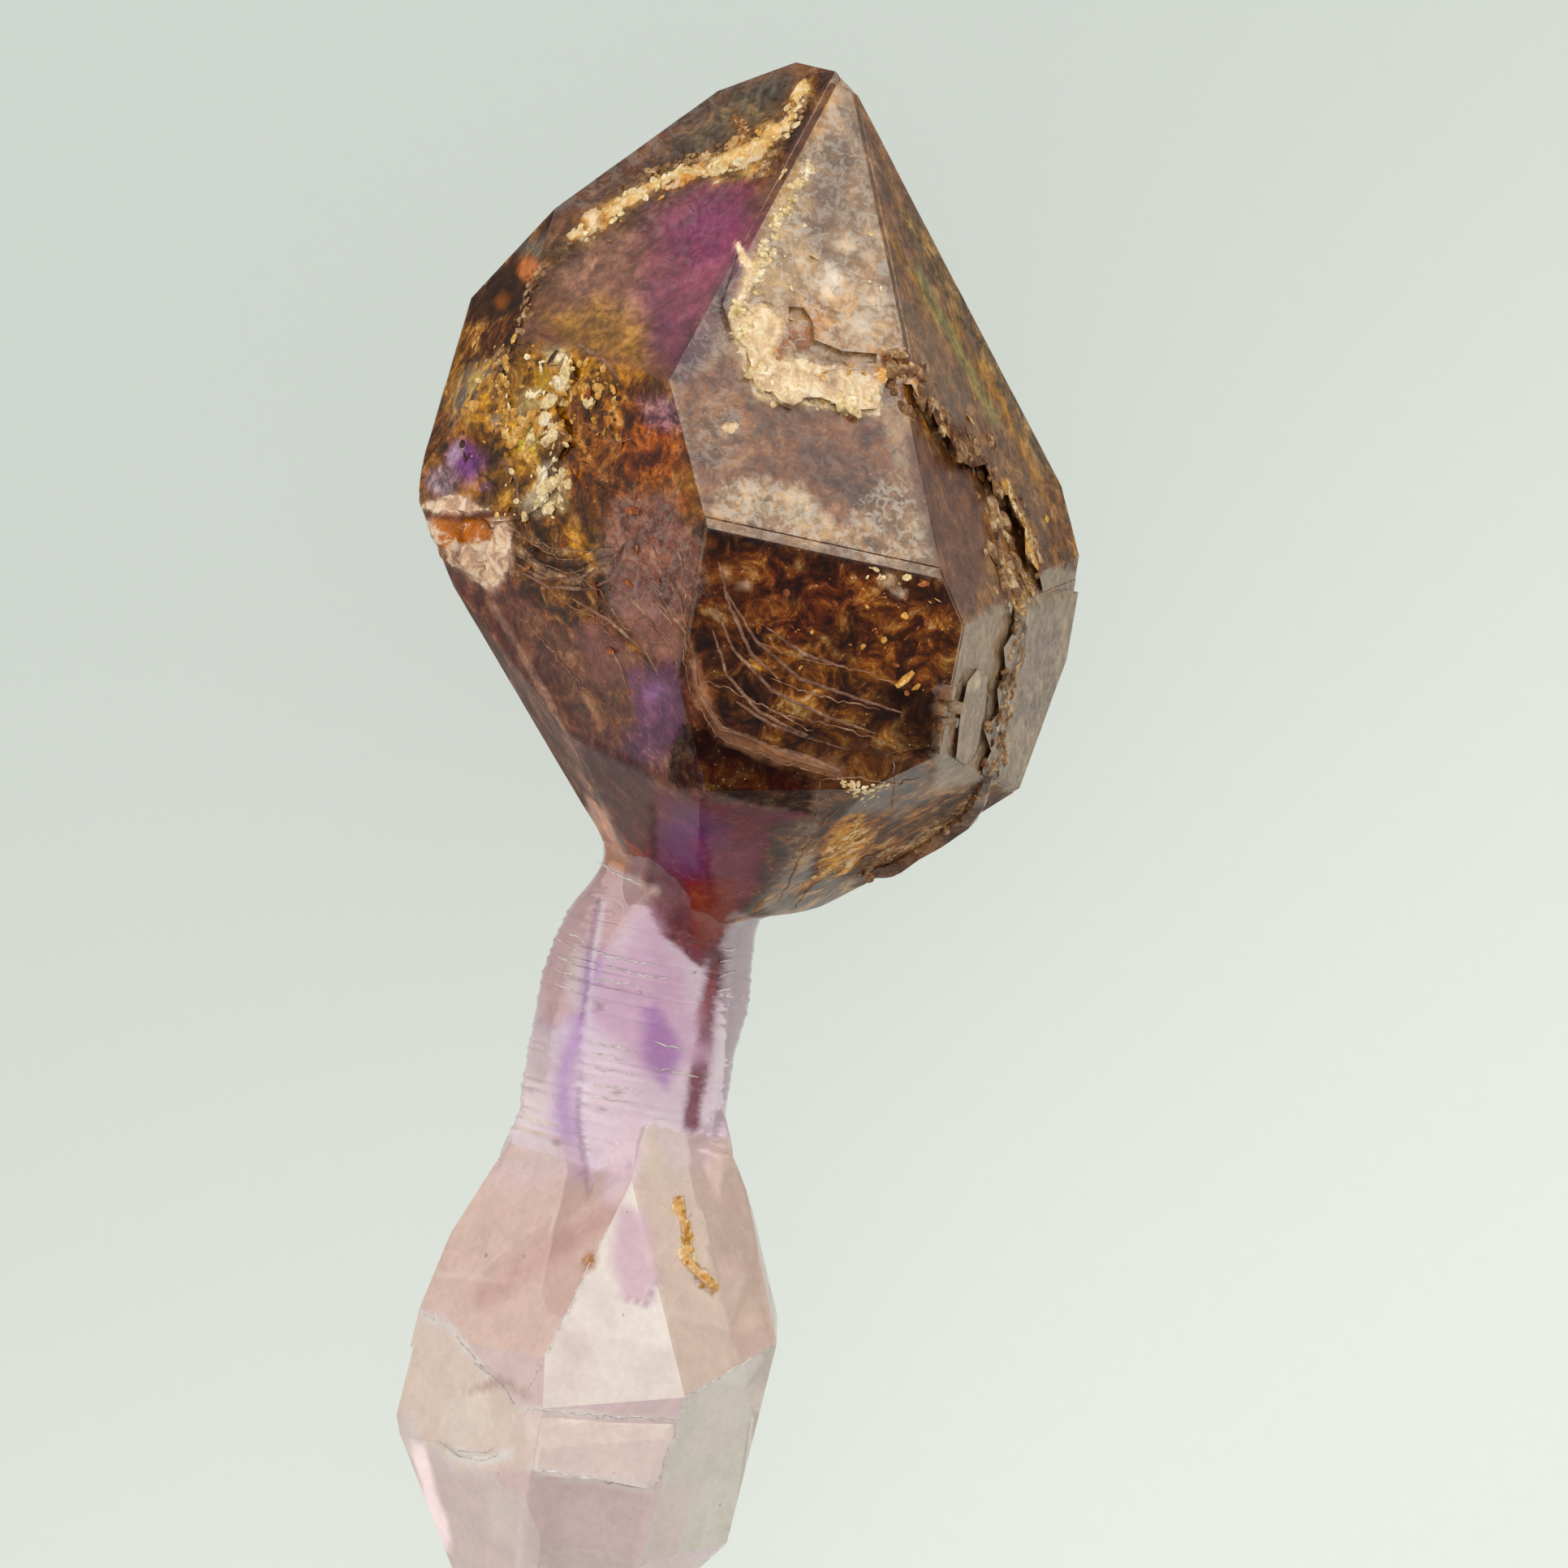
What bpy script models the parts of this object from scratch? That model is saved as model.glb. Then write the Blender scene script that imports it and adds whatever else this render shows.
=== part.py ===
"""An amethyst scepter: a thick crystal head grown on a slender stem, with a stout foot.

It is one grown crystal, so it is one solid. It lies on its back: +Y points to the
head's tip, +Z is the side seen from above. Lengths are in millimetres until the last
step, where the finished solid is scaled to metres and its box is centred on the origin.
While it is modelled, Y is 0 at the head's tip and X is 0 on a line through the tip.
"""

from math import cos, radians, sin, tan

import bmesh
import bpy
from mathutils import Matrix, Vector

TO_METRES = 0.001
AXIS_RISE = radians(10)  # the long axis climbs toward the head, which is thicker than the foot
# The head's back face and the foot's back face lie in one level plane, 13.5 below the head's
# centre, and the crystal rests on both.

HEAD_CENTRE = Vector((1.2, -20.0, 0.0))
FOOT_CENTRE = Vector((1.8, -56.0, -6.3))
HEAD_BLOCK = 60.0
FOOT_BLOCK = 60.0

# Each crystal face is (turn, slope, distance). Turn is in degrees round the long axis,
# 0 straight up and positive toward +X. Slope is the angle between the face's outward
# direction and the long axis: 90 is a prism side. Distance is from the crystal's centre.
HEAD_FACES = {
    "point_front": (15.0, 55.0, 12.05),
    "point_left": (-49.0, 52.5, 12.9),
    "point_right": (73.0, 58.0, 10.5),
    "point_back": (192.0, 50.0, 13.75),
    "point_back_left": (-111.5, 51.0, 15.45),
    "point_back_right": (137.5, 50.5, 12.0),
    "shoulder_left": (-75.0, 71.5, 13.15),
    "side_front": (13.5, 86.0, 12.95),
    "side_left": (-46.0, 89.5, 10.75),
    "side_right": (74.0, 88.0, 12.0),
    "side_back": (180.0, 100.0, 13.5),
    "side_back_left": (-100.5, 97.5, 13.0),
    "side_back_right": (135.0, 87.5, 12.35),
    "shoulder_back_left": (-138.0, 76.0, 15.8),
    "under_front": (26.5, 140.0, 14.15),
    "low_left": (-50.0, 112.5, 10.8),
    "under_left": (-51.5, 135.0, 11.6),
    "under_far_left": (-67.5, 132.0, 11.0),
    "under_right": (60.0, 134.0, 13.35),
    "under_right_heel": (60.0, 165.0, 15.3),
    "under_back": (180.0, 136.5, 14.4),
    "under_back_left": (-107.0, 125.5, 10.6),
    "under_back_right": (130.5, 120.5, 12.45),
}
FOOT_FACES = {
    "taper_front": (10.4, 77.9, 7.98),
    "taper_left": (-50.5, 69.5, 7.14),
    "taper_right": (41.4, 67.3, 8.36),
    "taper_far_right": (86.0, 66.0, 8.85),
    "taper_back": (180.0, 72.0, 7.5),
    "taper_back_left": (-112.5, 73.0, 7.5),
    "taper_back_right": (131.0, 67.5, 6.5),
    "side_front": (13.0, 88.5, 7.8),
    "side_left": (-46.5, 90.0, 6.75),
    "side_right": (51.5, 91.0, 7.55),
    "side_far_right": (97.0, 92.0, 6.85),
    "side_back": (180.0, 100.0, 7.2),
    "side_back_left": (-111.5, 87.0, 6.4),
    "side_back_right": (135.0, 90.0, 7.2),
    "point_front": (12.0, 126.5, 8.9),
    "point_left": (-51.0, 119.0, 6.85),
    "point_right": (55.5, 124.0, 8.55),
    "point_far_right": (97.5, 120.5, 7.8),
    "point_back": (192.0, 125.0, 9.5),
    "point_back_left": (-107.0, 119.0, 6.95),
    "point_back_right": (138.0, 126.0, 8.7),
}

# The stem's outline at each height: left side, left front edge, middle ridge, right front
# edge, right side (all X), then how far its front and its back stand off the axis.
STEM_ROWS = (
    (-30.5, -0.8, 0.8, 2.2, 3.6, 4.6, 4.4, -4.2),
    (-32.6, -1.6, 0.6, 2.1, 3.9, 5.2, 4.9, -4.7),
    (-33.9, -2.1, 0.4, 2.1, 3.9, 5.2, 5.0, -4.8),
    (-34.9, -2.5, 0.1, 2.0, 3.9, 5.1, 4.9, -4.8),
    (-35.8, -3.1, -0.4, 2.0, 3.9, 5.1, 4.8, -4.7),
    (-37.4, -3.5, -1.0, 1.9, 4.0, 5.2, 4.7, -4.6),
    (-38.8, -3.7, -1.3, 1.9, 4.1, 5.3, 4.7, -4.6),
    (-40.7, -3.7, -1.3, 1.9, 4.2, 5.3, 4.7, -4.6),
    (-42.9, -3.7, -1.0, 1.9, 4.1, 5.4, 4.7, -4.6),
    (-44.2, -3.7, -0.5, 1.9, 4.0, 5.5, 4.7, -4.6),
    (-46.3, -3.7, 0.5, 1.9, 3.9, 5.3, 4.7, -4.7),
    (-48.6, -3.3, 1.3, 2.0, 3.5, 4.8, 4.6, -4.8),
    (-51.0, -2.8, 1.4, 2.2, 3.5, 4.4, 4.2, -4.6),
)
STRIA_HEIGHTS = (
    -36.3, -36.6, -37.1, -37.5, -38.0, -38.3, -38.9, -39.4, -40.0, -40.7,
    -41.2, -41.8, -42.1, -42.5, -43.3, -43.7, -44.5, -45.1, -45.6,
)
STRIA_LIFT = 0.07
STRIA_WIDTH = 0.16

# Outlines of the raised growth layers, as seen from above (X, Y).
FRONT_LAYER = (
    (0.5, -0.9), (-0.6, -4.3), (-1.6, -6.6), (-1.5, -7.9), (-1.6, -9.4), (-1.7, -10.9),
    (-1.1, -11.9), (-0.3, -12.4), (0.0, -13.2), (0.3, -14.0), (1.0, -13.9), (1.4, -14.2),
    (1.9, -14.3), (2.2, -13.9), (2.9, -13.7), (4.2, -13.9), (5.2, -13.7), (5.4, -12.2),
    (5.4, -11.2), (6.2, -10.9), (7.2, -11.0), (7.2, -9.6), (5.6, -6.6), (4.0, -3.9), (2.4, -1.4),
)
FRONT_GROOVE = (
    (0.9, -10.4), (1.5, -10.3), (2.0, -10.8), (2.2, -11.5), (3.4, -11.7), (4.8, -11.5),
    (4.8, -11.9), (3.2, -12.2), (1.7, -12.2), (1.2, -11.6),
)
RIGHT_LAYER = (
    (5.1, -11.2), (5.5, -12.2), (5.9, -12.5), (6.4, -12.4), (6.8, -12.9), (7.3, -13.0),
    (7.7, -13.7), (8.4, -14.2), (8.9, -14.9), (9.5, -15.1), (10.0, -14.8), (10.4, -15.3),
    (10.6, -15.9), (11.2, -15.8), (11.6, -16.4), (12.2, -17.0), (12.4, -18.0), (13.1, -18.6),
    (13.5, -19.4), (13.6, -20.6), (13.9, -22.0), (17.0, -22.0), (17.0, 1.0), (-1.0, 1.0),
    (0.6, -0.5), (2.4, -5.0),
)
SIDE_RIGHT_LAYER = (
    (12.9, -19.2), (12.4, -20.3), (12.6, -21.2), (12.3, -22.0), (12.6, -22.9), (12.4, -23.7),
    (12.7, -24.6), (12.2, -25.4), (12.7, -26.2), (12.5, -27.0), (12.7, -27.6), (12.2, -28.4),
    (12.6, -31.0), (18.0, -31.0), (18.0, -18.6),
)
SLAB = (
    (11.4, -23.1), (11.9, -23.3), (12.1, -24.7), (12.1, -26.3), (11.8, -27.0), (11.3, -26.8),
    (11.1, -25.1), (11.1, -23.7),
)
SIDE_FRONT_LAYER = (
    (-2.2, -19.0), (12.6, -19.0), (12.6, -25.8), (10.1, -26.6), (8.6, -27.2), (7.6, -27.0),
    (6.7, -27.3), (5.4, -27.2), (4.2, -27.9), (3.0, -27.6), (1.9, -27.5), (1.2, -26.9),
    (0.6, -26.2), (0.3, -25.2), (-0.3, -24.4), (-0.5, -23.4), (-1.4, -22.9), (-2.1, -22.0),
)
LEFT_LAYER = (
    (-10.4, -11.5), (-9.0, -12.0), (-7.6, -13.4), (-7.0, -14.9), (-7.5, -16.3), (-6.6, -17.4),
    (-7.3, -18.8), (-7.0, -20.0), (-8.0, -21.0), (-9.2, -21.3), (-12.0, -20.8), (-15.0, -20.0),
    (-15.0, -11.0),
)
FOOT_BAND = (
    (-0.5, -56.8), (1.4, -56.5), (3.3, -56.3), (6.1, -55.8), (6.0, -57.9), (5.3, -58.7),
    (3.4, -58.7), (1.2, -59.0), (0.3, -58.8), (-0.2, -58.0),
)
FOOT_CHIP = (
    (-7.5, -53.0), (-5.4, -53.2), (-4.2, -53.7), (-3.2, -54.4), (-2.9, -55.2), (-2.1, -55.2),
    (-1.2, -55.9), (-0.6, -56.6), (-0.8, -57.8), (-1.0, -58.6), (-2.6, -59.2), (-3.6, -58.8),
    (-5.2, -59.2), (-7.5, -58.8),
)
FOOT_CHIP_STEP = (
    (-7.5, -55.2), (-5.2, -55.3), (-4.6, -56.4), (-4.2, -57.6), (-4.8, -58.9), (-7.5, -59.5),
)
BACK_LEFT_LAYER = (
    (-2.0, -5.5), (-3.6, -6.4), (-2.7, -8.2), (-4.4, -10.0), (-4.0, -11.8), (-6.2, -12.6),
    (-7.4, -12.1), (-9.0, -12.6), (-9.6, -11.0), (-8.0, -8.6), (-5.6, -6.6), (-3.6, -5.0),
)
BACK_RIGHT_LAYER = (
    (4.0, -8.6), (5.6, -9.8), (5.2, -11.6), (7.0, -12.4), (7.6, -14.4), (9.4, -14.9),
    (10.0, -16.8), (12.4, -16.4), (11.6, -13.6), (9.0, -10.4), (6.0, -7.4),
)

FRONT_LAYER_LIFT = 0.3
FRONT_GROOVE_LIFT = 0.06
RIGHT_LAYER_LIFT = 0.48
FRONT_LIFTS = {"point_front": FRONT_LAYER_LIFT, "point_right": RIGHT_LAYER_LIFT - 0.04}
BACK_LIFT = 0.3
SIDE_RIGHT_LIFT = 0.24
SLAB_LIFT = 0.2
SIDE_FRONT_LIFT = 0.22
LEFT_LAYER_LIFT = 0.22
FOOT_BAND_LIFT = 0.28
CHIP_DEPTH = -0.4
CHIP_STEP_DEPTH = -0.75
INSET = 0.03  # a growth layer's other faces stand this far inside the crystal's own

VEIN = ((-0.3, -24.0), (0.2, -25.0), (0.5, -26.1), (1.2, -26.9), (1.8, -27.5), (3.0, -27.6),
        (4.2, -28.0), (5.4, -28.1), (6.8, -28.3))
LEFT_VEIN = ((-8.2, -21.6), (-7.2, -22.2), (-6.1, -22.4), (-5.2, -22.2), (-4.5, -21.7),
             (-3.6, -21.4))
ROD = ((8.6, -32.2), (9.6, -31.7), (10.6, -30.8), (11.4, -30.0), (12.2, -29.0), (12.6, -28.2),
       (12.7, -27.3))
VEIN_RADIUS = 0.2
ROD_RADIUS = 0.55
KNOB_LUMPS = ((-10.6, -21.6, 1.25), (-10.3, -22.5, 1.0), (-9.3, -22.9, 0.9), (-9.2, -21.9, 0.8))
SMALL_PRISMS = ((10.0, -24.3, 0.42), (10.5, -24.8, 0.34), (9.9, -25.0, 0.36), (10.4, -25.4, 0.26))
CRUST_LUMPS = ((5.2, -12.0, 0.5), (5.6, -11.4, 0.55), (6.3, -11.7, 0.6), (7.0, -12.3, 0.5),
               (0.6, -13.6, 0.4), (1.3, -13.9, 0.36), (-0.9, -11.2, 0.45), (3.9, -13.4, 0.42))


def clear_scene():
    for old in list(bpy.data.objects):
        bpy.data.objects.remove(old)


def direction_of(turn, slope):
    """The outward direction of a crystal face, in the lying object's frame."""
    round_axis = radians(turn)
    from_axis = radians(slope)
    upright = Vector((
        sin(from_axis) * sin(round_axis),
        cos(from_axis),
        sin(from_axis) * cos(round_axis),
    ))
    return Matrix.Rotation(AXIS_RISE, 3, "X") @ upright


def axis_height(y):
    """The height of the long axis above or below the head's centre."""
    return (y - HEAD_CENTRE.y) * tan(AXIS_RISE)


def plane_of(centre, face, lift=0.0):
    turn, slope, distance = face
    direction = direction_of(turn, slope)
    return centre + direction * (distance + lift), direction


def surface_height(centre, faces, x, y):
    """The height of the crystal's upper side at (x, y): the lowest of the planes there."""
    heights = []
    for face in faces.values():
        point, direction = plane_of(centre, face)
        if direction.z > 0.05:
            run = (x - point.x) * direction.x + (y - point.y) * direction.y
            heights.append(point.z - run / direction.z)
    return min(heights)


def cut_flat(bm, point, direction):
    """Takes off all that stands outside a plane and closes the cut with a flat face."""
    everything = bm.verts[:] + bm.edges[:] + bm.faces[:]
    found = bmesh.ops.bisect_plane(
        bm, geom=everything, dist=1e-5, plane_co=point, plane_no=direction, clear_outer=True
    )
    rim = [edge for edge in found["geom_cut"] if isinstance(edge, bmesh.types.BMEdge)]
    if rim:
        bmesh.ops.holes_fill(bm, edges=rim, sides=0)


def new_object(name, bm):
    bmesh.ops.recalc_face_normals(bm, faces=bm.faces)
    mesh = bpy.data.meshes.new(name)
    bm.to_mesh(mesh)
    bm.free()
    made = bpy.data.objects.new(name, mesh)
    bpy.context.scene.collection.objects.link(made)
    return made


def crystal(name, centre, block, faces):
    """A block with one flat cut for each crystal face."""
    bm = bmesh.new()
    bmesh.ops.create_cube(bm, size=block)
    bmesh.ops.translate(bm, vec=centre, verts=bm.verts)
    for face in faces.values():
        cut_flat(bm, *plane_of(centre, face))
    return new_object(name, bm)


def outline_prism(outline, low, high):
    """A prism that stands on its outline, from one height to another."""
    bm = bmesh.new()
    ring = [bm.verts.new((x, y, low)) for x, y in outline]
    base = bm.faces.new(ring)
    raised = bmesh.ops.extrude_face_region(bm, geom=[base])
    tops = [item for item in raised["geom"] if isinstance(item, bmesh.types.BMVert)]
    bmesh.ops.translate(bm, vec=(0, 0, high - low), verts=tops)
    bmesh.ops.recalc_face_normals(bm, faces=bm.faces)
    return bm


def growth_layer(name, outline, centre, faces, lifts, low, high):
    """A thin layer that lies on the lifted faces and ends inside the other ones."""
    bm = outline_prism(outline, low, high)
    for key, face in faces.items():
        cut_flat(bm, *plane_of(centre, face, lifts.get(key, -INSET)))
    return new_object(name, bm)


def recess(name, outline, centre, face, lift, low, high):
    """A cutter whose floor runs parallel to one crystal face."""
    bm = outline_prism(outline, low, high)
    point, direction = plane_of(centre, face, lift)
    cut_flat(bm, point, -direction)
    return new_object(name, bm)


def stem():
    """A loft through the stem's outlines, with thin ribs across it."""
    def row_at(y):
        for upper, lower in zip(STEM_ROWS, STEM_ROWS[1:]):
            if upper[0] >= y >= lower[0]:
                share = (upper[0] - y) / (upper[0] - lower[0])
                return [a + (b - a) * share for a, b in zip(upper, lower)]
        return list(STEM_ROWS[-1])

    rows = [(list(row), 0.0) for row in STEM_ROWS]
    for number, height in enumerate(STRIA_HEIGHTS):
        lift = STRIA_LIFT * (1.0 if number % 3 else 1.6)
        rows.append((row_at(height + STRIA_WIDTH), 0.0))
        rows.append((row_at(height), lift))
        rows.append((row_at(height - 0.05), 0.0))
    rows.sort(key=lambda row: -row[0][0])
    rows = [row for i, row in enumerate(rows) if i == 0 or rows[i - 1][0][0] - row[0][0] > 0.02]

    bm = bmesh.new()
    rings = []
    for (y, left, edge_left, ridge, edge_right, right, front, back), lift in rows:
        middle = axis_height(y)
        corners = (
            (left - lift, -0.5),
            (edge_left - lift, front - 0.4 + lift),
            (ridge, front + lift),
            (edge_right + lift, front - 1.5 + lift),
            (right + lift, 0.6),
            (right - 0.9 + lift, 0.6 * back),
            (2.0, back - lift),
            (left + 1.0 - lift, 0.68 * back),
        )
        rings.append([bm.verts.new((x, y, middle + z)) for x, z in corners])
    for upper, lower in zip(rings, rings[1:]):
        for i in range(len(upper)):
            following = (i + 1) % len(upper)
            bm.faces.new((upper[i], upper[following], lower[following], lower[i]))
    bm.faces.new(rings[0])
    bm.faces.new(list(reversed(rings[-1])))
    return new_object("stem", bm)


def rope(name, points, radius, heights, sides=6):
    """A rounded ridge that follows a line over the surface."""
    bm = bmesh.new()
    path = [Vector((x, y, z)) for (x, y), z in zip(points, heights)]
    rings = []
    for i, point in enumerate(path):
        ahead = path[min(i + 1, len(path) - 1)] - path[max(i - 1, 0)]
        across = ahead.cross(Vector((0, 0, 1))).normalized()
        above = across.cross(ahead).normalized()
        size = radius * (0.55 if i in (0, len(path) - 1) else 1.0 + 0.16 * sin(2.1 * i))
        ring = []
        for k in range(sides):
            turn = radians(360 * k / sides + 30)
            ring.append(bm.verts.new(point + size * (across * cos(turn) + above * sin(turn))))
        rings.append(ring)
    for first, second in zip(rings, rings[1:]):
        for k in range(sides):
            following = (k + 1) % sides
            bm.faces.new((first[k], first[following], second[following], second[k]))
    bm.faces.new(rings[0])
    bm.faces.new(list(reversed(rings[-1])))
    return new_object(name, bm)


def lump(name, place, radius, flat=0.6, turn=0.0):
    bm = bmesh.new()
    bmesh.ops.create_icosphere(bm, subdivisions=1, radius=radius)
    bmesh.ops.scale(bm, vec=(1.0, 1.15, flat), verts=bm.verts)
    bmesh.ops.rotate(bm, matrix=Matrix.Rotation(turn, 3, "Z"), verts=bm.verts)
    bmesh.ops.translate(bm, vec=place, verts=bm.verts)
    return new_object(name, bm)


def small_prism(name, place, direction, radius, length):
    """A small six-sided crystal that stands on a face."""
    bm = bmesh.new()
    bmesh.ops.create_cone(
        bm, cap_ends=True, segments=6, radius1=radius, radius2=radius * 0.8, depth=length
    )
    turned = direction.to_track_quat("Z", "Y").to_matrix()
    bmesh.ops.rotate(bm, matrix=turned, verts=bm.verts)
    bmesh.ops.translate(bm, vec=place, verts=bm.verts)
    return new_object(name, bm)


def combine(body, tool, operation="UNION"):
    """Joins a tool to the body, or cuts it out, and takes the tool away."""
    step = body.modifiers.new("step", "BOOLEAN")
    step.operation = operation
    step.solver = "EXACT"
    step.object = tool
    bpy.context.view_layer.objects.active = body
    bpy.ops.object.modifier_apply(modifier=step.name)
    bpy.data.objects.remove(tool)


def head_heights(points):
    return [surface_height(HEAD_CENTRE, HEAD_FACES, x, y) for x, y in points]


def add_head_layers(body):
    layers = (
        ("right_layer", RIGHT_LAYER, {"point_right": RIGHT_LAYER_LIFT}, -9.0, 16.0),
        ("front_layer", FRONT_LAYER, FRONT_LIFTS, 0.0, 18.0),
        ("side_right_layer", SIDE_RIGHT_LAYER, {"side_right": SIDE_RIGHT_LIFT}, -9.0, 16.0),
        ("slab", SLAB, {"side_right": SLAB_LIFT}, 0.0, 16.0),
        ("side_front_layer", SIDE_FRONT_LAYER, {"side_front": SIDE_FRONT_LIFT}, 4.0, 18.0),
        ("left_layer", LEFT_LAYER, {"side_left": LEFT_LAYER_LIFT}, -5.0, 16.0),
        ("back_left_layer", BACK_LEFT_LAYER, {"point_back_left": BACK_LIFT}, -18.0, 0.0),
        ("back_right_layer", BACK_RIGHT_LAYER, {"point_back_right": BACK_LIFT}, -18.0, 0.0),
    )
    for name, outline, lifts, low, high in layers:
        combine(body, growth_layer(name, outline, HEAD_CENTRE, HEAD_FACES, lifts, low, high))
    groove = recess(
        "groove", FRONT_GROOVE, HEAD_CENTRE, HEAD_FACES["point_front"],
        FRONT_GROOVE_LIFT, 0.0, 20.0,
    )
    combine(body, groove, "DIFFERENCE")


def add_head_lumps(body):
    combine(body, rope("vein", VEIN, VEIN_RADIUS, head_heights(VEIN)))
    combine(body, rope("left_vein", LEFT_VEIN, VEIN_RADIUS, head_heights(LEFT_VEIN)))
    combine(body, rope("rod", ROD, ROD_RADIUS, [height - 0.1 for height in head_heights(ROD)]))
    for number, (x, y, radius) in enumerate(KNOB_LUMPS):
        z = surface_height(HEAD_CENTRE, HEAD_FACES, x, y) - 0.3
        combine(body, lump("knob", (x, y, z), radius, 0.7, 0.7 * number))
    side = direction_of(*HEAD_FACES["side_right"][:2])
    for x, y, radius in SMALL_PRISMS:
        z = surface_height(HEAD_CENTRE, HEAD_FACES, x, y)
        combine(body, small_prism("prism", (x, y, z), side, radius, 1.3))
    for number, (x, y, radius) in enumerate(CRUST_LUMPS):
        z = surface_height(HEAD_CENTRE, HEAD_FACES, x, y) + 0.1
        combine(body, lump("crust", (x, y, z), radius, 0.6, 0.9 * number))


def add_foot_steps(body):
    lifts = {"side_front": FOOT_BAND_LIFT}
    band = growth_layer("band", FOOT_BAND, FOOT_CENTRE, FOOT_FACES, lifts, -4.0, 6.0)
    combine(body, band)
    chips = (("chip", FOOT_CHIP, CHIP_DEPTH), ("chip_step", FOOT_CHIP_STEP, CHIP_STEP_DEPTH))
    for name, outline, depth in chips:
        cutter = recess(name, outline, FOOT_CENTRE, FOOT_FACES["side_left"], depth, -12.0, 8.0)
        combine(body, cutter, "DIFFERENCE")


def quartz():
    """Clear crystal, smoky violet on the whole."""
    material = bpy.data.materials.new("amethyst")
    material.use_nodes = True
    surface = material.node_tree.nodes["Principled BSDF"]
    surface.inputs["Base Color"].default_value = (0.42, 0.27, 0.30, 1.0)
    surface.inputs["Roughness"].default_value = 0.12
    surface.inputs["Metallic"].default_value = 0.0
    surface.inputs["IOR"].default_value = 1.544
    surface.inputs["Transmission Weight"].default_value = 0.6
    return material


def finish(body):
    """Scales the solid to metres and centres its box on the origin, standing on Z = 0."""
    points = [vertex.co for vertex in body.data.vertices]
    low = Vector(min(point[axis] for point in points) for axis in range(3))
    high = Vector(max(point[axis] for point in points) for axis in range(3))
    centre = (low + high) / 2
    centre.z = low.z
    body.data.transform(Matrix.Scale(TO_METRES, 4) @ Matrix.Translation(-centre))
    body.data.materials.clear()
    body.data.materials.append(quartz())
    for polygon in body.data.polygons:
        polygon.use_smooth = False


def build():
    clear_scene()
    body = crystal("scepter_crystal", HEAD_CENTRE, HEAD_BLOCK, HEAD_FACES)
    add_head_layers(body)
    add_head_lumps(body)
    combine(body, stem())
    foot = crystal("foot", FOOT_CENTRE, FOOT_BLOCK, FOOT_FACES)
    add_foot_steps(foot)
    combine(body, foot)
    finish(body)
    parts = bpy.data.collections.new("amethyst_scepter")
    bpy.context.scene.collection.children.link(parts)
    bpy.context.scene.collection.objects.unlink(body)
    parts.objects.link(body)


build()
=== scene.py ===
"""The looks of an amethyst scepter: a smoky violet crystal head on a slender lilac stem.

The crystal is one grown piece, so one dressed copy of its solid carries every face. The
copy is divided finely, its zones of colour and stain are laid on by marks, and its crusts
are raised a little. The clouds inside it, and the lines, flecks and crumbs on it, are pieces
of their own. Lengths are in metres unless a name or a comment says otherwise.
"""

from math import cos, radians, sin

import bpy
import numpy as np
from mathutils import Matrix, Vector
from mathutils.bvhtree import BVHTree


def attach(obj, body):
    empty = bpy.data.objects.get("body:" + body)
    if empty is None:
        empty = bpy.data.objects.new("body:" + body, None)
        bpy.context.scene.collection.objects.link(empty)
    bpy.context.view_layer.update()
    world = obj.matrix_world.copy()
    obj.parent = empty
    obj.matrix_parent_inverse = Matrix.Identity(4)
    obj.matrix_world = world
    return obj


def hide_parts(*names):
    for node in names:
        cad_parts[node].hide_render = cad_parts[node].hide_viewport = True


MM = 0.001
AXIS_RISE = radians(10)
NEARLY_FULL_TURN = 6.28  # in radians

# The picture is 1932 across at 30 to the millimetre, and turned 12 degrees from the crystal.
PICTURE_MIDDLE = 966.0
PICTURE_SCALE = 30.0
PICTURE_TURN = radians(12)
TIP_IN_PICTURE = (1010.0, 78.0)
TIP_SHIFT = (1.2975, -35.343)  # from the part's origin to the head's tip, in millimetres
EYE_HEIGHT = 500.9  # of the camera above the crystal's middle height, in millimetres
MIDDLE_HEIGHT = 13.5

# Where the head ends and the foot starts, in millimetres along the axis from the tip. The
# faces of each part are looked for a little way past these.
HEAD_END = -33.0
FOOT_START = -47.5
HEAD_REACH = -40.0
FOOT_REACH = -44.0
SAME_WAY = 0.97  # least cosine between a small face and the crystal face that it lies on
NEAR_PLANE = 0.75  # most millimetres between the two

# Every crystal face: (turn round the axis, slope from it, distance from the centre).
HEAD_CENTRE = (1.2, -20.0, 0.0)
FOOT_CENTRE = (1.8, -56.0, -6.3)
HEAD_FACES = {
    "point_front": (15.0, 55.0, 12.05),
    "point_left": (-49.0, 52.5, 12.9),
    "point_right": (73.0, 58.0, 10.5),
    "point_back": (192.0, 50.0, 13.75),
    "point_back_left": (-111.5, 51.0, 15.45),
    "point_back_right": (137.5, 50.5, 12.0),
    "shoulder_left": (-75.0, 71.5, 13.15),
    "side_front": (13.5, 86.0, 12.95),
    "side_left": (-46.0, 89.5, 10.75),
    "side_right": (74.0, 88.0, 12.0),
    "side_back": (180.0, 100.0, 13.5),
    "side_back_left": (-100.5, 97.5, 13.0),
    "side_back_right": (135.0, 87.5, 12.35),
    "shoulder_back_left": (-138.0, 76.0, 15.8),
    "under_front": (26.5, 140.0, 14.15),
    "low_left": (-50.0, 112.5, 10.8),
    "under_left": (-51.5, 135.0, 11.6),
    "under_far_left": (-67.5, 132.0, 11.0),
    "under_right": (60.0, 134.0, 13.35),
    "under_right_heel": (60.0, 165.0, 15.3),
    "under_back": (180.0, 136.5, 14.4),
    "under_back_left": (-107.0, 125.5, 10.6),
    "under_back_right": (130.5, 120.5, 12.45),
}
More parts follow.
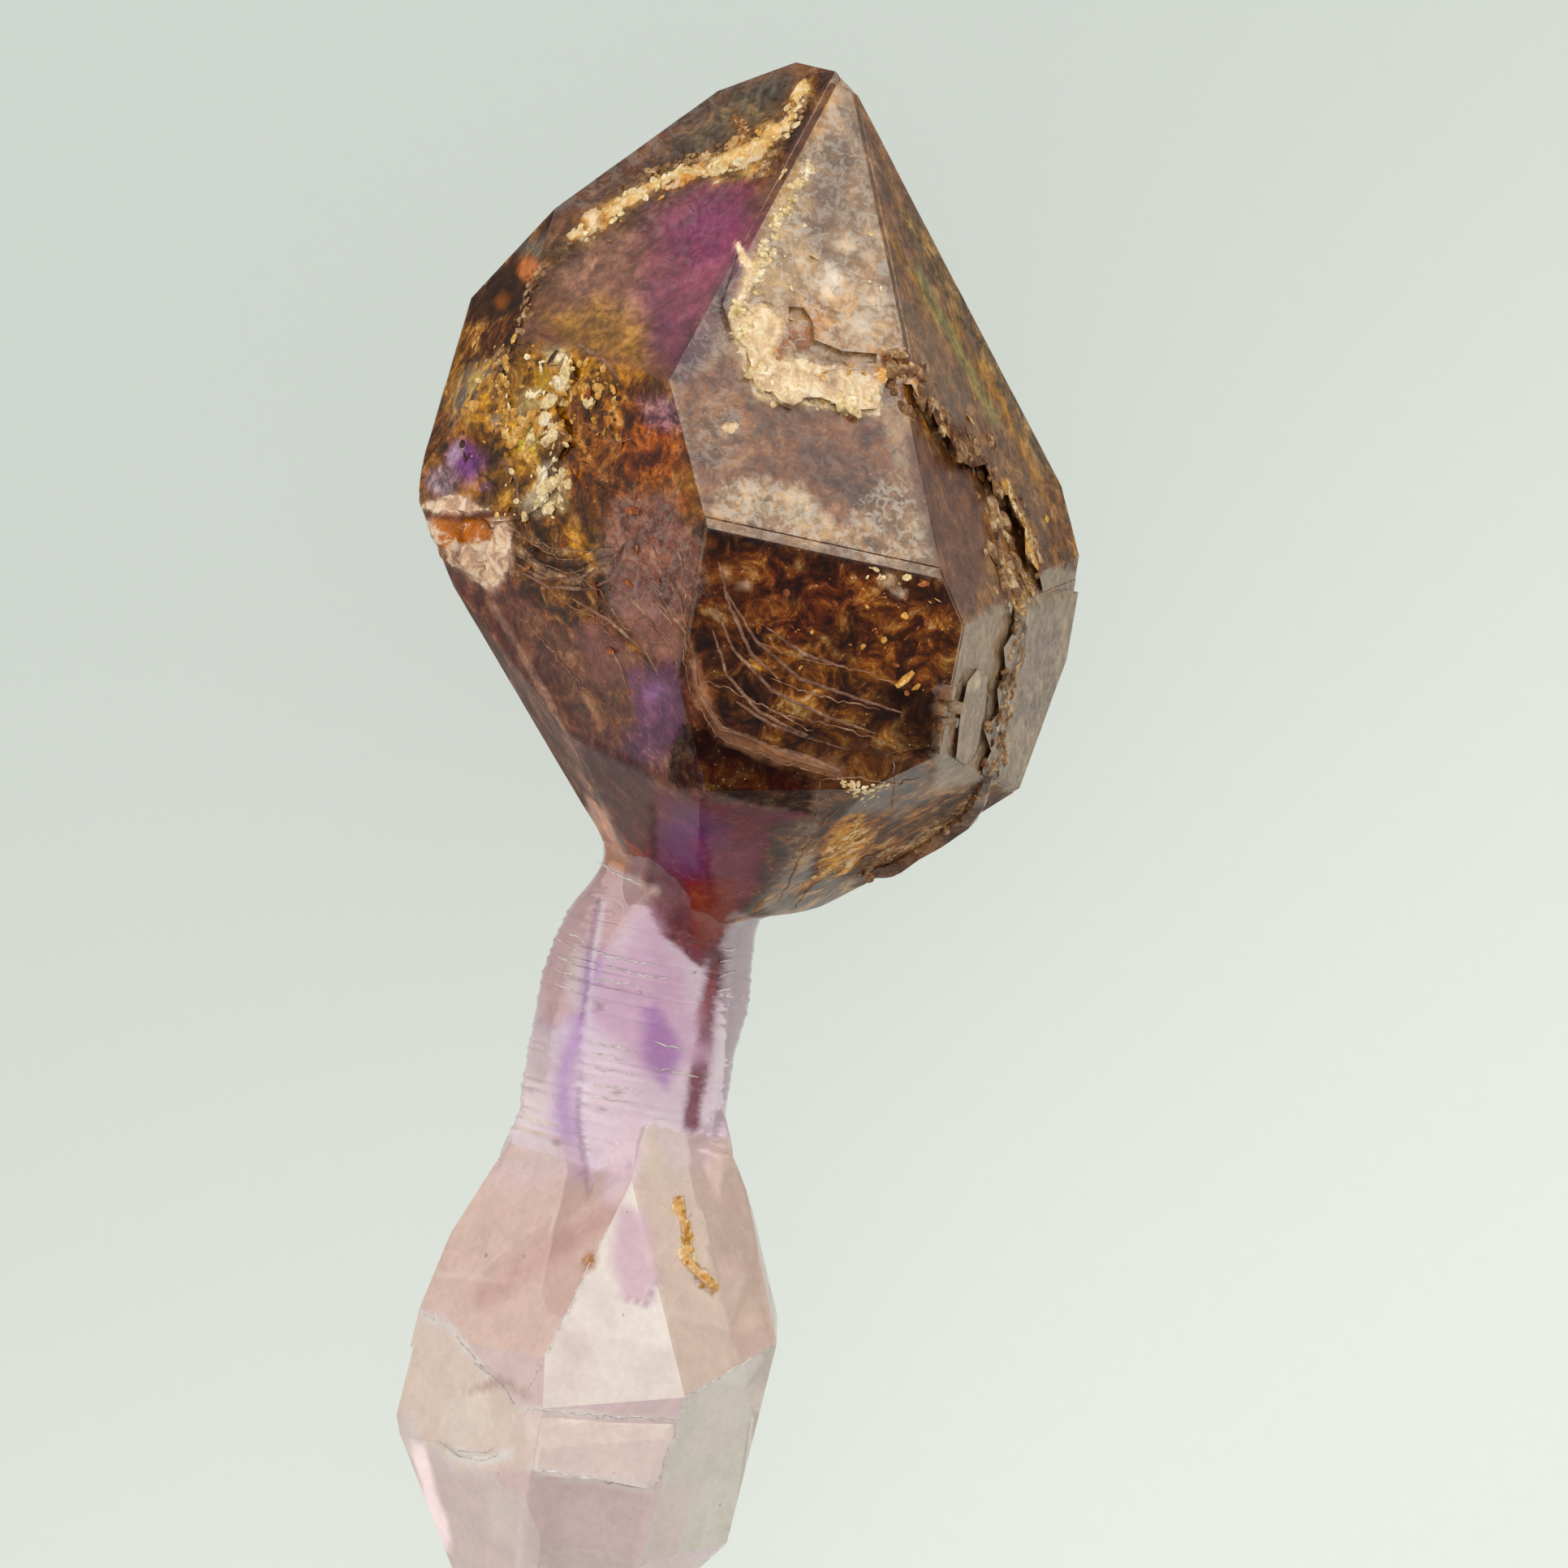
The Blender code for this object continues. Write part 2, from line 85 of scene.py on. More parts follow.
FOOT_FACES = {
    "taper_front": (10.4, 77.9, 7.98),
    "taper_left": (-50.5, 69.5, 7.14),
    "taper_right": (41.4, 67.3, 8.36),
    "taper_far_right": (86.0, 66.0, 8.85),
    "taper_back": (180.0, 72.0, 7.5),
    "foot_front": (13.0, 88.5, 7.8),
    "foot_left": (-46.5, 90.0, 6.75),
    "foot_right": (51.5, 91.0, 7.55),
    "foot_far_right": (97.0, 92.0, 6.85),
}

# The ground coat of each face: colour, then how clear, flaky and frosted it is. The colours
# differ face by face partly as stain and partly as painted light and shade.
LAYER_NAMES = ("clear", "flake", "frost", "crust")
GROUND = {
    "point_front": ((182, 154, 130), 0.55, 0.35, 0.45),
    "point_left": ((146, 104, 88), 0.70, 0.35, 0.05),
    "point_right": ((118, 90, 70), 0.28, 0.40, 0.08),
    "point_back": ((136, 110, 100), 0.55, 0.35, 0.10),
    "point_back_left": ((118, 90, 72), 0.48, 0.60, 0.08),
    "point_back_right": ((136, 112, 94), 0.50, 0.45, 0.12),
    "shoulder_left": ((70, 38, 22), 0.10, 0.60, 0.00),
    "side_front": ((84, 42, 18), 0.50, 0.75, 0.00),
    "side_left": ((136, 94, 60), 0.60, 0.65, 0.00),
    "side_right": ((156, 136, 116), 0.45, 0.20, 0.25),
    "side_back": ((130, 102, 90), 0.50, 0.45, 0.12),
    "side_back_left": ((120, 92, 78), 0.48, 0.55, 0.08),
    "side_back_right": ((142, 120, 106), 0.52, 0.35, 0.15),
    "shoulder_back_left": ((106, 78, 58), 0.42, 0.70, 0.05),
    "under_front": ((84, 46, 38), 0.45, 0.55, 0.03),
    "low_left": ((112, 66, 66), 0.50, 0.50, 0.04),
    "under_left": ((98, 54, 54), 0.45, 0.50, 0.03),
    "under_far_left": ((78, 50, 42), 0.15, 0.45, 0.03),
    "under_right": ((124, 84, 56), 0.22, 0.75, 0.06),
    "under_right_heel": ((138, 98, 70), 0.30, 0.60, 0.10),
    "under_back": ((128, 98, 98), 0.55, 0.30, 0.10),
    "under_back_left": ((116, 88, 86), 0.52, 0.35, 0.10),
    "under_back_right": ((134, 110, 94), 0.50, 0.35, 0.15),
    # The foot's faces take one tone each as painted light and shade: whitest on the front of the
    # taper, darker towards the far right, with a painted grey reflection on the right faces.
    "taper_front": ((255, 247, 240), 0.50, 0.03, 0.12),
    "taper_left": ((240, 214, 202), 0.62, 0.04, 0.08),
    "taper_right": ((234, 214, 198), 0.62, 0.04, 0.10),
    "taper_far_right": ((224, 204, 194), 0.62, 0.04, 0.10),
    "taper_back": ((240, 228, 230), 0.84, 0.04, 0.10),
    "foot_front": ((234, 216, 218), 0.62, 0.03, 0.10),
    "foot_left": ((236, 214, 210), 0.62, 0.03, 0.10),
    "foot_right": ((224, 226, 216), 0.60, 0.03, 0.14),
    "foot_far_right": ((218, 216, 208), 0.60, 0.03, 0.14),
    "head_rest": ((118, 90, 78), 0.48, 0.50, 0.10),
    "stem": ((246, 228, 240), 0.60, 0.02, 0.05),
    "foot_rest": ((232, 218, 220), 0.62, 0.04, 0.10),
}


# Broad zones on the hidden back of the head: colour, seed, and how clear.
BACK_ZONES = (((150, 84, 138), 27.0, 0.7), ((176, 130, 70), 33.0, 0.45))

# What makes the random values, and how each finer layer of them shrinks and fades.
HASH_STEP = np.array([12.9898, 78.233, 37.719])
HASH_SCALE = 43758.5453
SEED_SHIFT = 7.31
FINER = 2.1
FAINTER = 1.8


def linear(colour):
    """A swatch of red, green and blue from 0 to 255, as linear light."""
    share = np.array(colour, float) / 255.0
    return np.where(share <= 0.04045, share / 12.92, ((share + 0.055) / 1.055) ** 2.4)


def value_grain(points, size, seed):
    """Smooth random values from -1 to 1, one bump for each size in millimetres."""
    place = points / size + seed * SEED_SHIFT
    cell = np.floor(place)
    share = place - cell
    share = share * share * (3.0 - 2.0 * share)
    total = np.zeros(len(points))
    for corner in range(8):
        step = np.array([corner & 1, corner >> 1 & 1, corner >> 2 & 1], float)
        weight = np.prod(np.where(step > 0, share, 1.0 - share), axis=1)
        mixed = (cell + step) @ HASH_STEP + seed
        total += weight * (np.sin(mixed) * HASH_SCALE % 1.0)
    return total * 2.0 - 1.0


def layered_grain(points, size, seed, layers):
    """Random values with finer and fainter ones on top, for a natural unevenness."""
    total = np.zeros(len(points))
    for layer in range(layers):
        total += value_grain(points, size / FINER**layer, seed + layer) / FAINTER**layer
    return total


def smooth_step(low, high, value):
    share = np.clip((value - low) / (high - low), 0.0, 1.0)
    return share * share * (3.0 - 2.0 * share)


def in_picture(points_mm):
    """Where points of the part stand in the picture."""
    u = points_mm[:, 0] + TIP_SHIFT[0]
    v = points_mm[:, 1] + TIP_SHIFT[1]
    across = TIP_IN_PICTURE[0] + PICTURE_SCALE * (u * cos(PICTURE_TURN) + v * sin(PICTURE_TURN))
    down = TIP_IN_PICTURE[1] + PICTURE_SCALE * (u * sin(PICTURE_TURN) - v * cos(PICTURE_TURN))
    nearer = EYE_HEIGHT / (EYE_HEIGHT - (points_mm[:, 2] - MIDDLE_HEIGHT))
    seen = np.stack([across, down], axis=1)
    return PICTURE_MIDDLE + (seen - PICTURE_MIDDLE) * nearer[:, None]


def from_picture(across, down, height_mm=MIDDLE_HEIGHT):
    """The part's (x, y) in millimetres of a place in the picture, at a given height."""
    nearer = EYE_HEIGHT / (EYE_HEIGHT - (height_mm - MIDDLE_HEIGHT))
    across = PICTURE_MIDDLE + (across - PICTURE_MIDDLE) / nearer
    down = PICTURE_MIDDLE + (down - PICTURE_MIDDLE) / nearer
    right = (across - TIP_IN_PICTURE[0]) / PICTURE_SCALE
    below = (down - TIP_IN_PICTURE[1]) / PICTURE_SCALE
    u = right * cos(PICTURE_TURN) + below * sin(PICTURE_TURN)
    v = right * sin(PICTURE_TURN) - below * cos(PICTURE_TURN)
    return u - TIP_SHIFT[0], v - TIP_SHIFT[1]


def face_direction(turn, slope):
    upright = Vector((
        sin(radians(slope)) * sin(radians(turn)),
        cos(radians(slope)),
        sin(radians(slope)) * cos(radians(turn)),
    ))
    return Matrix.Rotation(AXIS_RISE, 3, "X") @ upright


def name_faces(centres_mm, normals):
    """The name of the crystal face that each small face lies on."""
    u = centres_mm - np.array([-TIP_SHIFT[0], -TIP_SHIFT[1], MIDDLE_HEIGHT])
    names = np.where(u[:, 1] > HEAD_END, "head_rest", "stem").astype("<U20")
    names[u[:, 1] < FOOT_START] = "foot_rest"
    best = np.full(len(u), SAME_WAY)
    head = u[:, 1] > HEAD_REACH
    foot = u[:, 1] < FOOT_REACH
    for table, centre, part in (
        (HEAD_FACES, HEAD_CENTRE, head), (FOOT_FACES, FOOT_CENTRE, foot)
    ):
        for name, (turn, slope, distance) in table.items():
            direction = np.array(face_direction(turn, slope))
            facing = normals @ direction
            off = np.abs((u - np.array(centre)) @ direction - distance)
            ours = (facing > best) & (off < NEAR_PLANE) & part
            names[ours] = name
            best[ours] = facing[ours]
    return names


# Marks: patches, strokes and spots of colour, at places in the picture. Each may name the
# faces that it stays on and what it makes of the layers clear, flake, frost and crust.


def patch(points, colour, strength=1.0, soft=14, wobble=9, on=(), **more):
    return {"form": "patch", "points": points, "colour": colour, "strength": strength,
            "soft": soft, "wobble": wobble, "on": on, "more": more}


def stroke(points, width, colour, strength=1.0, soft=4, wobble=4, on=(), **more):
    return {"form": "stroke", "points": points, "width": width, "colour": colour,
            "strength": strength, "soft": soft, "wobble": wobble, "on": on, "more": more}


def spot(x, y, radius, colour, strength=1.0, soft=None, wobble=5, on=(), **more):
    return {"form": "stroke", "points": [(x, y), (x + 0.01, y)], "width": radius,
            "colour": colour, "strength": strength, "soft": soft or radius * 0.5,
            "wobble": wobble, "on": on, "more": more}


POINT_LEFT_MARKS = [
    patch([(1010, 85), (900, 120), (690, 285), (640, 300), (660, 360), (720, 330), (830, 250),
           (930, 215), (1000, 150)], (104, 84, 66), 0.9, 16, 10, flake=0.55, clear=0.45),
    patch([(975, 88), (905, 118), (830, 175), (850, 190), (930, 150)], (128, 118, 96), 0.7,
          14, 8, clear=0.6),
    stroke([(1000, 108), (968, 170), (925, 225)], 17, (62, 34, 28), 0.9, 9, 8, flake=0.7,
           clear=0.25),
    patch([(770, 320), (830, 248), (925, 245), (922, 300), (885, 380), (838, 455), (800, 430),
           (770, 370)], (196, 124, 156), 0.92, 34, 16, clear=0.74, flake=0.25),
    spot(885, 285, 42, (206, 112, 166), 0.8, 40, 12, clear=0.76, flake=0.2),
    patch([(690, 340), (745, 280), (800, 300), (790, 400), (730, 420), (690, 390)],
          (190, 152, 140), 0.8, 24, 12, clear=0.55, flake=0.4),
    patch([(672, 385), (740, 372), (800, 398), (796, 450), (700, 436)], (200, 160, 108), 0.8,
          18, 10, clear=0.55, flake=0.5),
    stroke([(912, 320), (872, 400), (838, 466)], 13, (100, 66, 90), 0.7, 9, 6),
    stroke([(836, 300), (800, 350), (812, 420)], 12, (104, 66, 96), 0.5, 9, 8),
    patch([(860, 200), (955, 150), (985, 120), (975, 170), (930, 215), (880, 225)],
          (168, 138, 98), 0.85, 7, 9, crust=0.5, flake=0.6, clear=0.2),
    stroke([(990, 112), (968, 158), (930, 187), (882, 206), (834, 216), (792, 236), (744, 268),
            (706, 296)], 7, (214, 180, 122), 0.95, 3, 5, crust=0.95, clear=0.05),
    stroke([(870, 196), (842, 226), (815, 234)], 6, (196, 128, 40), 0.9, 3, 4, crust=0.8),
    spot(733, 276, 17, (176, 120, 56), 0.9, 5, 4, crust=0.8),
    spot(733, 274, 8, (232, 214, 176), 0.9, 3, 2, crust=0.9),
    stroke([(900, 180), (915, 160), (905, 145)], 6, (150, 96, 44), 0.8, 3, 4, crust=0.6),
    stroke([(660, 330), (700, 302), (740, 290)], 7, (96, 70, 48), 0.8, 5, 5, crust=0.3),
]
SHOULDER_MARKS = [
    patch([(655, 312), (668, 335), (640, 425), (566, 480), (556, 450), (572, 375), (604, 336)],
          (44, 22, 12), 0.97, 4, 5, flake=0.2, clear=0.05),
    patch([(600, 345), (645, 335), (640, 385), (598, 400)], (28, 12, 8), 0.85, 8, 7,
          flake=0.1, clear=0.05),
    spot(652, 333, 15, (206, 112, 44), 0.95, 6, 5, clear=0.3),
    spot(618, 372, 9, (150, 84, 34), 0.7, 5, 4),
    patch([(572, 395), (630, 390), (636, 425), (566, 460)], (92, 60, 42), 0.8, 10, 7, flake=1.0),
    spot(590, 425, 11, (54, 30, 22), 0.8, 6, 5),
    stroke([(570, 386), (561, 440), (550, 500)], 6, (150, 112, 70), 0.6, 4, 4),
]
SIDE_LEFT_MARKS = [
    patch([(640, 425), (745, 440), (735, 500), (690, 600), (620, 640), (560, 590), (552, 500),
           (572, 450)], (188, 146, 84), 0.9, 14, 12, flake=0.95, clear=0.5),
    patch([(720, 440), (790, 462), (790, 510), (740, 540), (716, 500)], (176, 130, 66), 0.8,
          12, 9, flake=1.0, clear=0.4),
    patch([(600, 440), (640, 432), (646, 470), (606, 500)], (80, 48, 32), 0.8, 7, 7, flake=0.8),
    patch([(585, 545), (630, 540), (640, 600), (600, 612)], (56, 34, 30), 0.8, 8, 8, flake=0.7),
    patch([(548, 515), (600, 525), (600, 560), (545, 560)], (110, 62, 40), 0.8, 8, 6, flake=0.7),
    spot(682, 440, 17, (240, 230, 190), 0.85, 8, 9, crust=0.45, flake=0.3),
    spot(652, 490, 15, (232, 214, 160), 0.85, 7, 9, crust=0.45, flake=0.3),
    spot(668, 462, 13, (222, 196, 120), 0.8, 7, 8, crust=0.3, flake=0.3),
    spot(652, 545, 18, (230, 214, 120), 0.85, 8, 9, crust=0.35, flake=0.3),
    spot(684, 590, 21, (240, 234, 216), 0.9, 9, 10, crust=0.5, flake=0.3),
    spot(662, 622, 19, (236, 228, 204), 0.85, 9, 10, crust=0.5, flake=0.3),
    spot(690, 622, 13, (214, 196, 150), 0.8, 7, 9, crust=0.5, flake=0.3),
    spot(590, 470, 12, (236, 200, 90), 0.85, 5, 6, flake=0.3),
    spot(612, 520, 9, (238, 228, 210), 0.9, 4, 5, flake=0.3),
    spot(640, 512, 8, (245, 236, 214), 0.9, 4, 5, flake=0.3),
    spot(578, 570, 26, (142, 92, 172), 0.9, 11, 8, clear=0.6, flake=0.3),
    spot(545, 594, 19, (214, 198, 222), 0.9, 7, 7, clear=0.5),
    spot(560, 560, 9, (226, 206, 236), 0.8, 4, 5, flake=0.3),
    spot(598, 600, 9, (190, 150, 214), 0.8, 4, 5),
    patch([(700, 490), (790, 470), (836, 530), (850, 600), (800, 612), (740, 640), (690, 600)],
          (140, 84, 42), 0.85, 16, 12, flake=1.0, clear=0.4),
    spot(800, 556, 34, (178, 88, 32), 0.85, 18, 12, flake=0.9, clear=0.4),
    spot(840, 620, 12, (168, 76, 32), 0.7, 8, 6),
    spot(745, 590, 20, (120, 66, 24), 0.7, 12, 9),
    patch([(752, 612), (830, 600), (864, 676), (852, 770), (762, 760), (732, 690)],
          (164, 118, 112), 0.9, 14, 10, flake=0.42, clear=0.6, frost=0.3),
    patch([(640, 640), (736, 640), (748, 760), (700, 790), (620, 705)], (74, 42, 20), 0.9, 14,
          10, flake=0.9, clear=0.35),
    patch([(690, 650), (740, 645), (735, 690), (700, 690)], (178, 128, 50), 0.8, 8, 7, flake=0.8),
    patch([(785, 490), (830, 490), (832, 530), (790, 525)], (168, 138, 170), 0.75, 10, 8,
          clear=0.6),
    stroke([(640, 676), (668, 704), (704, 716), (738, 704), (754, 690)], 3.5, (206, 188, 160),
           0.85, 2, 2),
    stroke([(640, 660), (676, 676), (720, 680), (748, 676)], 3, (196, 176, 146), 0.7, 2, 2),
]
KNOB_MARKS = [
    patch([(518, 622), (560, 606), (628, 640), (630, 700), (606, 728), (560, 700), (526, 655)],
          (206, 178, 164), 0.95, 5, 5, crust=0.55, clear=0.35, flake=0.1),
    patch([(530, 634), (600, 640), (612, 664), (545, 672)], (196, 108, 22), 0.95, 5, 4,
          crust=0.3, clear=0.3),
    stroke([(524, 634), (560, 640), (622, 632)], 4, (90, 44, 22), 0.9, 3, 3),
    stroke([(540, 676), (566, 704), (590, 722)], 4, (120, 76, 56), 0.7, 3, 3, crust=0.4),
]
POINT_FRONT_MARKS = [
    patch([(1018, 108), (1034, 110), (1112, 420), (1105, 440), (985, 440), (905, 420),
           (900, 385), (930, 310), (958, 250)], (204, 172, 138), 0.85, 9, 7,
          on=("point_front",), frost=0.8, flake=0.35, clear=0.42),
    patch([(1000, 170), (1046, 180), (1070, 300), (1030, 330), (990, 290)], (146, 122, 108),
          0.75, 22, 12, on=("point_front",), frost=0.5, clear=0.6),
    patch([(940, 270), (985, 200), (1000, 300), (975, 380), (935, 360)], (206, 182, 150), 0.75,
          14, 10, on=("point_front",), frost=0.9, flake=0.3),
    spot(1022, 345, 22, (255, 246, 228), 0.95, 12, 10, on=("point_front",), frost=1.0,
         clear=0.2),
    spot(1046, 300, 12, (244, 226, 200), 0.85, 8, 9, on=("point_front",), frost=1.0, clear=0.3),
    spot(1078, 372, 13, (250, 232, 206), 0.9, 8, 9, on=("point_front",), frost=1.0, clear=0.3),
    # Thin pale strokes along the front face's right edge and lower left edge: painted highlights.
    stroke([(1036, 116), (1076, 260), (1114, 414)], 3, (214, 196, 168), 0.8, 2.5, 2,
           on=("point_front",), frost=0.8),
    stroke([(832, 486), (846, 560), (866, 638)], 3, (206, 180, 150), 0.75, 2.5, 2,
           on=("point_front",), frost=0.8),
    spot(1090, 330, 12, (240, 234, 226), 0.85, 8, 8, on=("point_front",), frost=1.0),
    spot(1062, 400, 16, (226, 214, 198), 0.8, 10, 8, on=("point_front",), frost=1.0),
    spot(1005, 388, 20, (202, 156, 120), 0.7, 12, 9, on=("point_front",), flake=0.7),
    stroke([(1020, 120), (990, 190), (955, 262), (932, 318), (905, 392)], 7, (196, 156, 96),
           0.75, 4, 5, on=("point_front",), frost=0.6),
    patch([(898, 392), (938, 372), (972, 400), (962, 432), (1000, 440), (990, 492), (930, 490),
           (915, 436)], (222, 202, 170), 0.95, 4, 6, crust=0.75, clear=0.12, frost=0.6),
    patch([(990, 442), (1088, 462), (1084, 510), (985, 490)], (218, 200, 172), 0.9, 4, 5,
          crust=0.7, clear=0.15, frost=0.7),
    stroke([(908, 300), (928, 340), (900, 392), (918, 436), (934, 484), (968, 496), (1080, 510)],
           5, (232, 216, 184), 0.9, 3, 4, crust=0.85, clear=0.05),
    stroke([(996, 446), (1040, 456), (1086, 466)], 4, (150, 100, 52), 0.8, 3, 3, crust=0.3),
    patch([(966, 398), (1000, 400), (996, 432), (968, 436), (960, 462), (948, 440)],
          (164, 96, 40), 0.9, 4, 4, crust=0.2),
    spot(1090, 462, 9, (226, 164, 66), 0.9, 4, 3, crust=0.8, flake=0.3),
    patch([(832, 482), (902, 436), (930, 496), (1085, 514), (1120, 620), (1135, 690),
           (868, 640)], (146, 104, 84), 0.95, 7, 6, on=("point_front",), frost=0.15,
          flake=0.45, clear=0.55),
    patch([(850, 520), (900, 470), (920, 520), (880, 600)], (170, 136, 112), 0.7, 16, 10,
          on=("point_front",), frost=0.6),
    patch([(868, 642), (880, 600), (930, 590), (985, 605), (1010, 625), (1040, 640),
           (1095, 590), (1122, 600), (1150, 702), (1010, 672)], (202, 174, 144), 0.9, 5, 9,
          on=("point_front",), frost=0.95, clear=0.45),
    spot(990, 628, 17, (232, 214, 190), 0.85, 9, 8, on=("point_front",), frost=1.0),
    spot(930, 618, 20, (216, 192, 162), 0.8, 10, 8, on=("point_front",), frost=1.0),
    patch([(1004, 600), (1060, 560), (1090, 600), (1040, 634)], (122, 92, 78), 0.75, 9, 8,
          on=("point_front",), flake=0.6, clear=0.5),
    stroke([(1000, 650), (1060, 620), (1120, 616)], 4, (120, 92, 78), 0.7, 3, 4,
           on=("point_front",)),
    stroke([(1046, 640), (1052, 660), (1130, 690)], 4, (112, 86, 74), 0.6, 3, 4,
           on=("point_front",)),
    spot(900, 526, 10, (214, 190, 160), 0.9, 4, 5, on=("point_front",), crust=0.6),
    spot(1068, 536, 14, (112, 66, 60), 0.6, 9, 7, on=("point_front",)),
]
POINT_RIGHT_MARKS = [
    patch([(1040, 110), (1130, 270), (1240, 480), (1300, 600), (1180, 540), (1115, 420),
           (1060, 190)], (122, 94, 74), 0.8, 12, 10, on=("point_right",), flake=0.4,
          clear=0.25),
    stroke([(1110, 260), (1180, 380), (1250, 500), (1300, 600)], 9, (112, 96, 66), 0.75, 5, 6,
           flake=0.7),
    stroke([(1100, 300), (1160, 390), (1220, 500)], 6, (176, 140, 70), 0.6, 4, 6),
    stroke([(1130, 330), (1180, 430), (1230, 520)], 5, (112, 122, 88), 0.7, 4, 5),
    stroke([(1180, 400), (1240, 510), (1290, 620)], 5, (170, 124, 56), 0.7, 4, 5),
    patch([(1110, 360), (1150, 400), (1200, 500), (1190, 545), (1140, 490)], (126, 98, 78),
          0.7, 12, 8, clear=0.4),
    patch([(1088, 434), (1126, 440), (1150, 490), (1200, 545), (1215, 600), (1170, 565),
           (1120, 510)], (112, 70, 36), 0.9, 6, 8, flake=0.8, crust=0.35, clear=0.2),
    patch([(1102, 505), (1150, 560), (1205, 600), (1222, 670), (1200, 740), (1186, 766),
           (1152, 700), (1128, 620)], (100, 70, 62), 0.9, 10, 7, clear=0.28, flake=0.25,
          frost=0.05),
    patch([(1215, 590), (1250, 610), (1290, 690), (1240, 720), (1225, 660)], (118, 84, 58),
          0.8, 10, 8, flake=0.7, clear=0.3),
    stroke([(1090, 438), (1106, 470), (1140, 502), (1168, 532), (1200, 560), (1222, 596),
            (1216, 640), (1230, 690), (1240, 740)], 5, (124, 84, 50), 0.85, 3, 5, crust=0.2,
           clear=0.15),
    stroke([(1240, 600), (1262, 640), (1276, 690), (1262, 730), (1244, 770)], 6,
           (206, 168, 116), 0.8, 3, 5, crust=0.5, clear=0.15),
    stroke([(1250, 596), (1272, 650), (1284, 700)], 3, (96, 60, 36), 0.8, 2, 4),
    spot(1108, 462, 8, (216, 160, 76), 0.8, 4, 4, crust=0.6, flake=0.3),
    spot(1140, 470, 9, (70, 40, 24), 0.7, 5, 5),
    patch([(1290, 560), (1315, 600), (1334, 700), (1300, 700), (1285, 630)], (104, 74, 50),
          0.75, 8, 7, flake=0.6, clear=0.2),
    stroke([(1060, 150), (1110, 290), (1120, 330)], 6, (116, 92, 84), 0.6, 5, 4),
]
SIDE_RIGHT_MARKS = [
    # The pale grey-beige of the right faces is partly stain and partly a painted reflection.
    patch([(1190, 770), (1240, 742), (1262, 780), (1236, 860), (1240, 900), (1214, 960),
           (1150, 980), (1150, 930), (1170, 850)], (164, 142, 120), 0.9, 6, 4, clear=0.45,
          flake=0.2, frost=0.3),
    patch([(1262, 740), (1334, 712), (1320, 800), (1290, 880), (1250, 975), (1222, 960),
           (1244, 880)], (164, 148, 128), 0.85, 7, 6, clear=0.4, flake=0.3, frost=0.3),
    patch([(1280, 790), (1312, 780), (1296, 850), (1262, 930), (1250, 900)], (146, 130, 122),
          0.7, 12, 8, flake=0.4),
    stroke([(1240, 745), (1262, 776), (1256, 810), (1238, 840), (1242, 872), (1228, 900),
            (1236, 930), (1212, 960)], 4.5, (96, 72, 54), 0.9, 2.5, 4, crust=0.4),
    stroke([(1212, 832), (1188, 846), (1180, 880), (1172, 936), (1186, 946), (1204, 926),
            (1214, 880), (1216, 840)], 2.8, (120, 98, 80), 0.85, 2, 2),
    spot(1198, 838, 11, (222, 206, 182), 0.85, 5, 4, crust=0.3, flake=0.3),
    stroke([(1144, 846), (1160, 838), (1172, 848), (1170, 866), (1154, 874), (1142, 862),
            (1144, 846)], 2.6, (104, 84, 68), 0.85, 2, 1.5),
    stroke([(1060, 1078), (1110, 1052), (1166, 1010), (1206, 976)], 10, (112, 84, 66), 0.9, 4,
           4, crust=0.25, flake=0.5),
    stroke([(1090, 1040), (1150, 1002), (1200, 968)], 4, (70, 46, 36), 0.9, 3, 3),
    stroke([(1110, 1046), (1150, 1020)], 4, (200, 178, 150), 0.7, 3, 3),
]
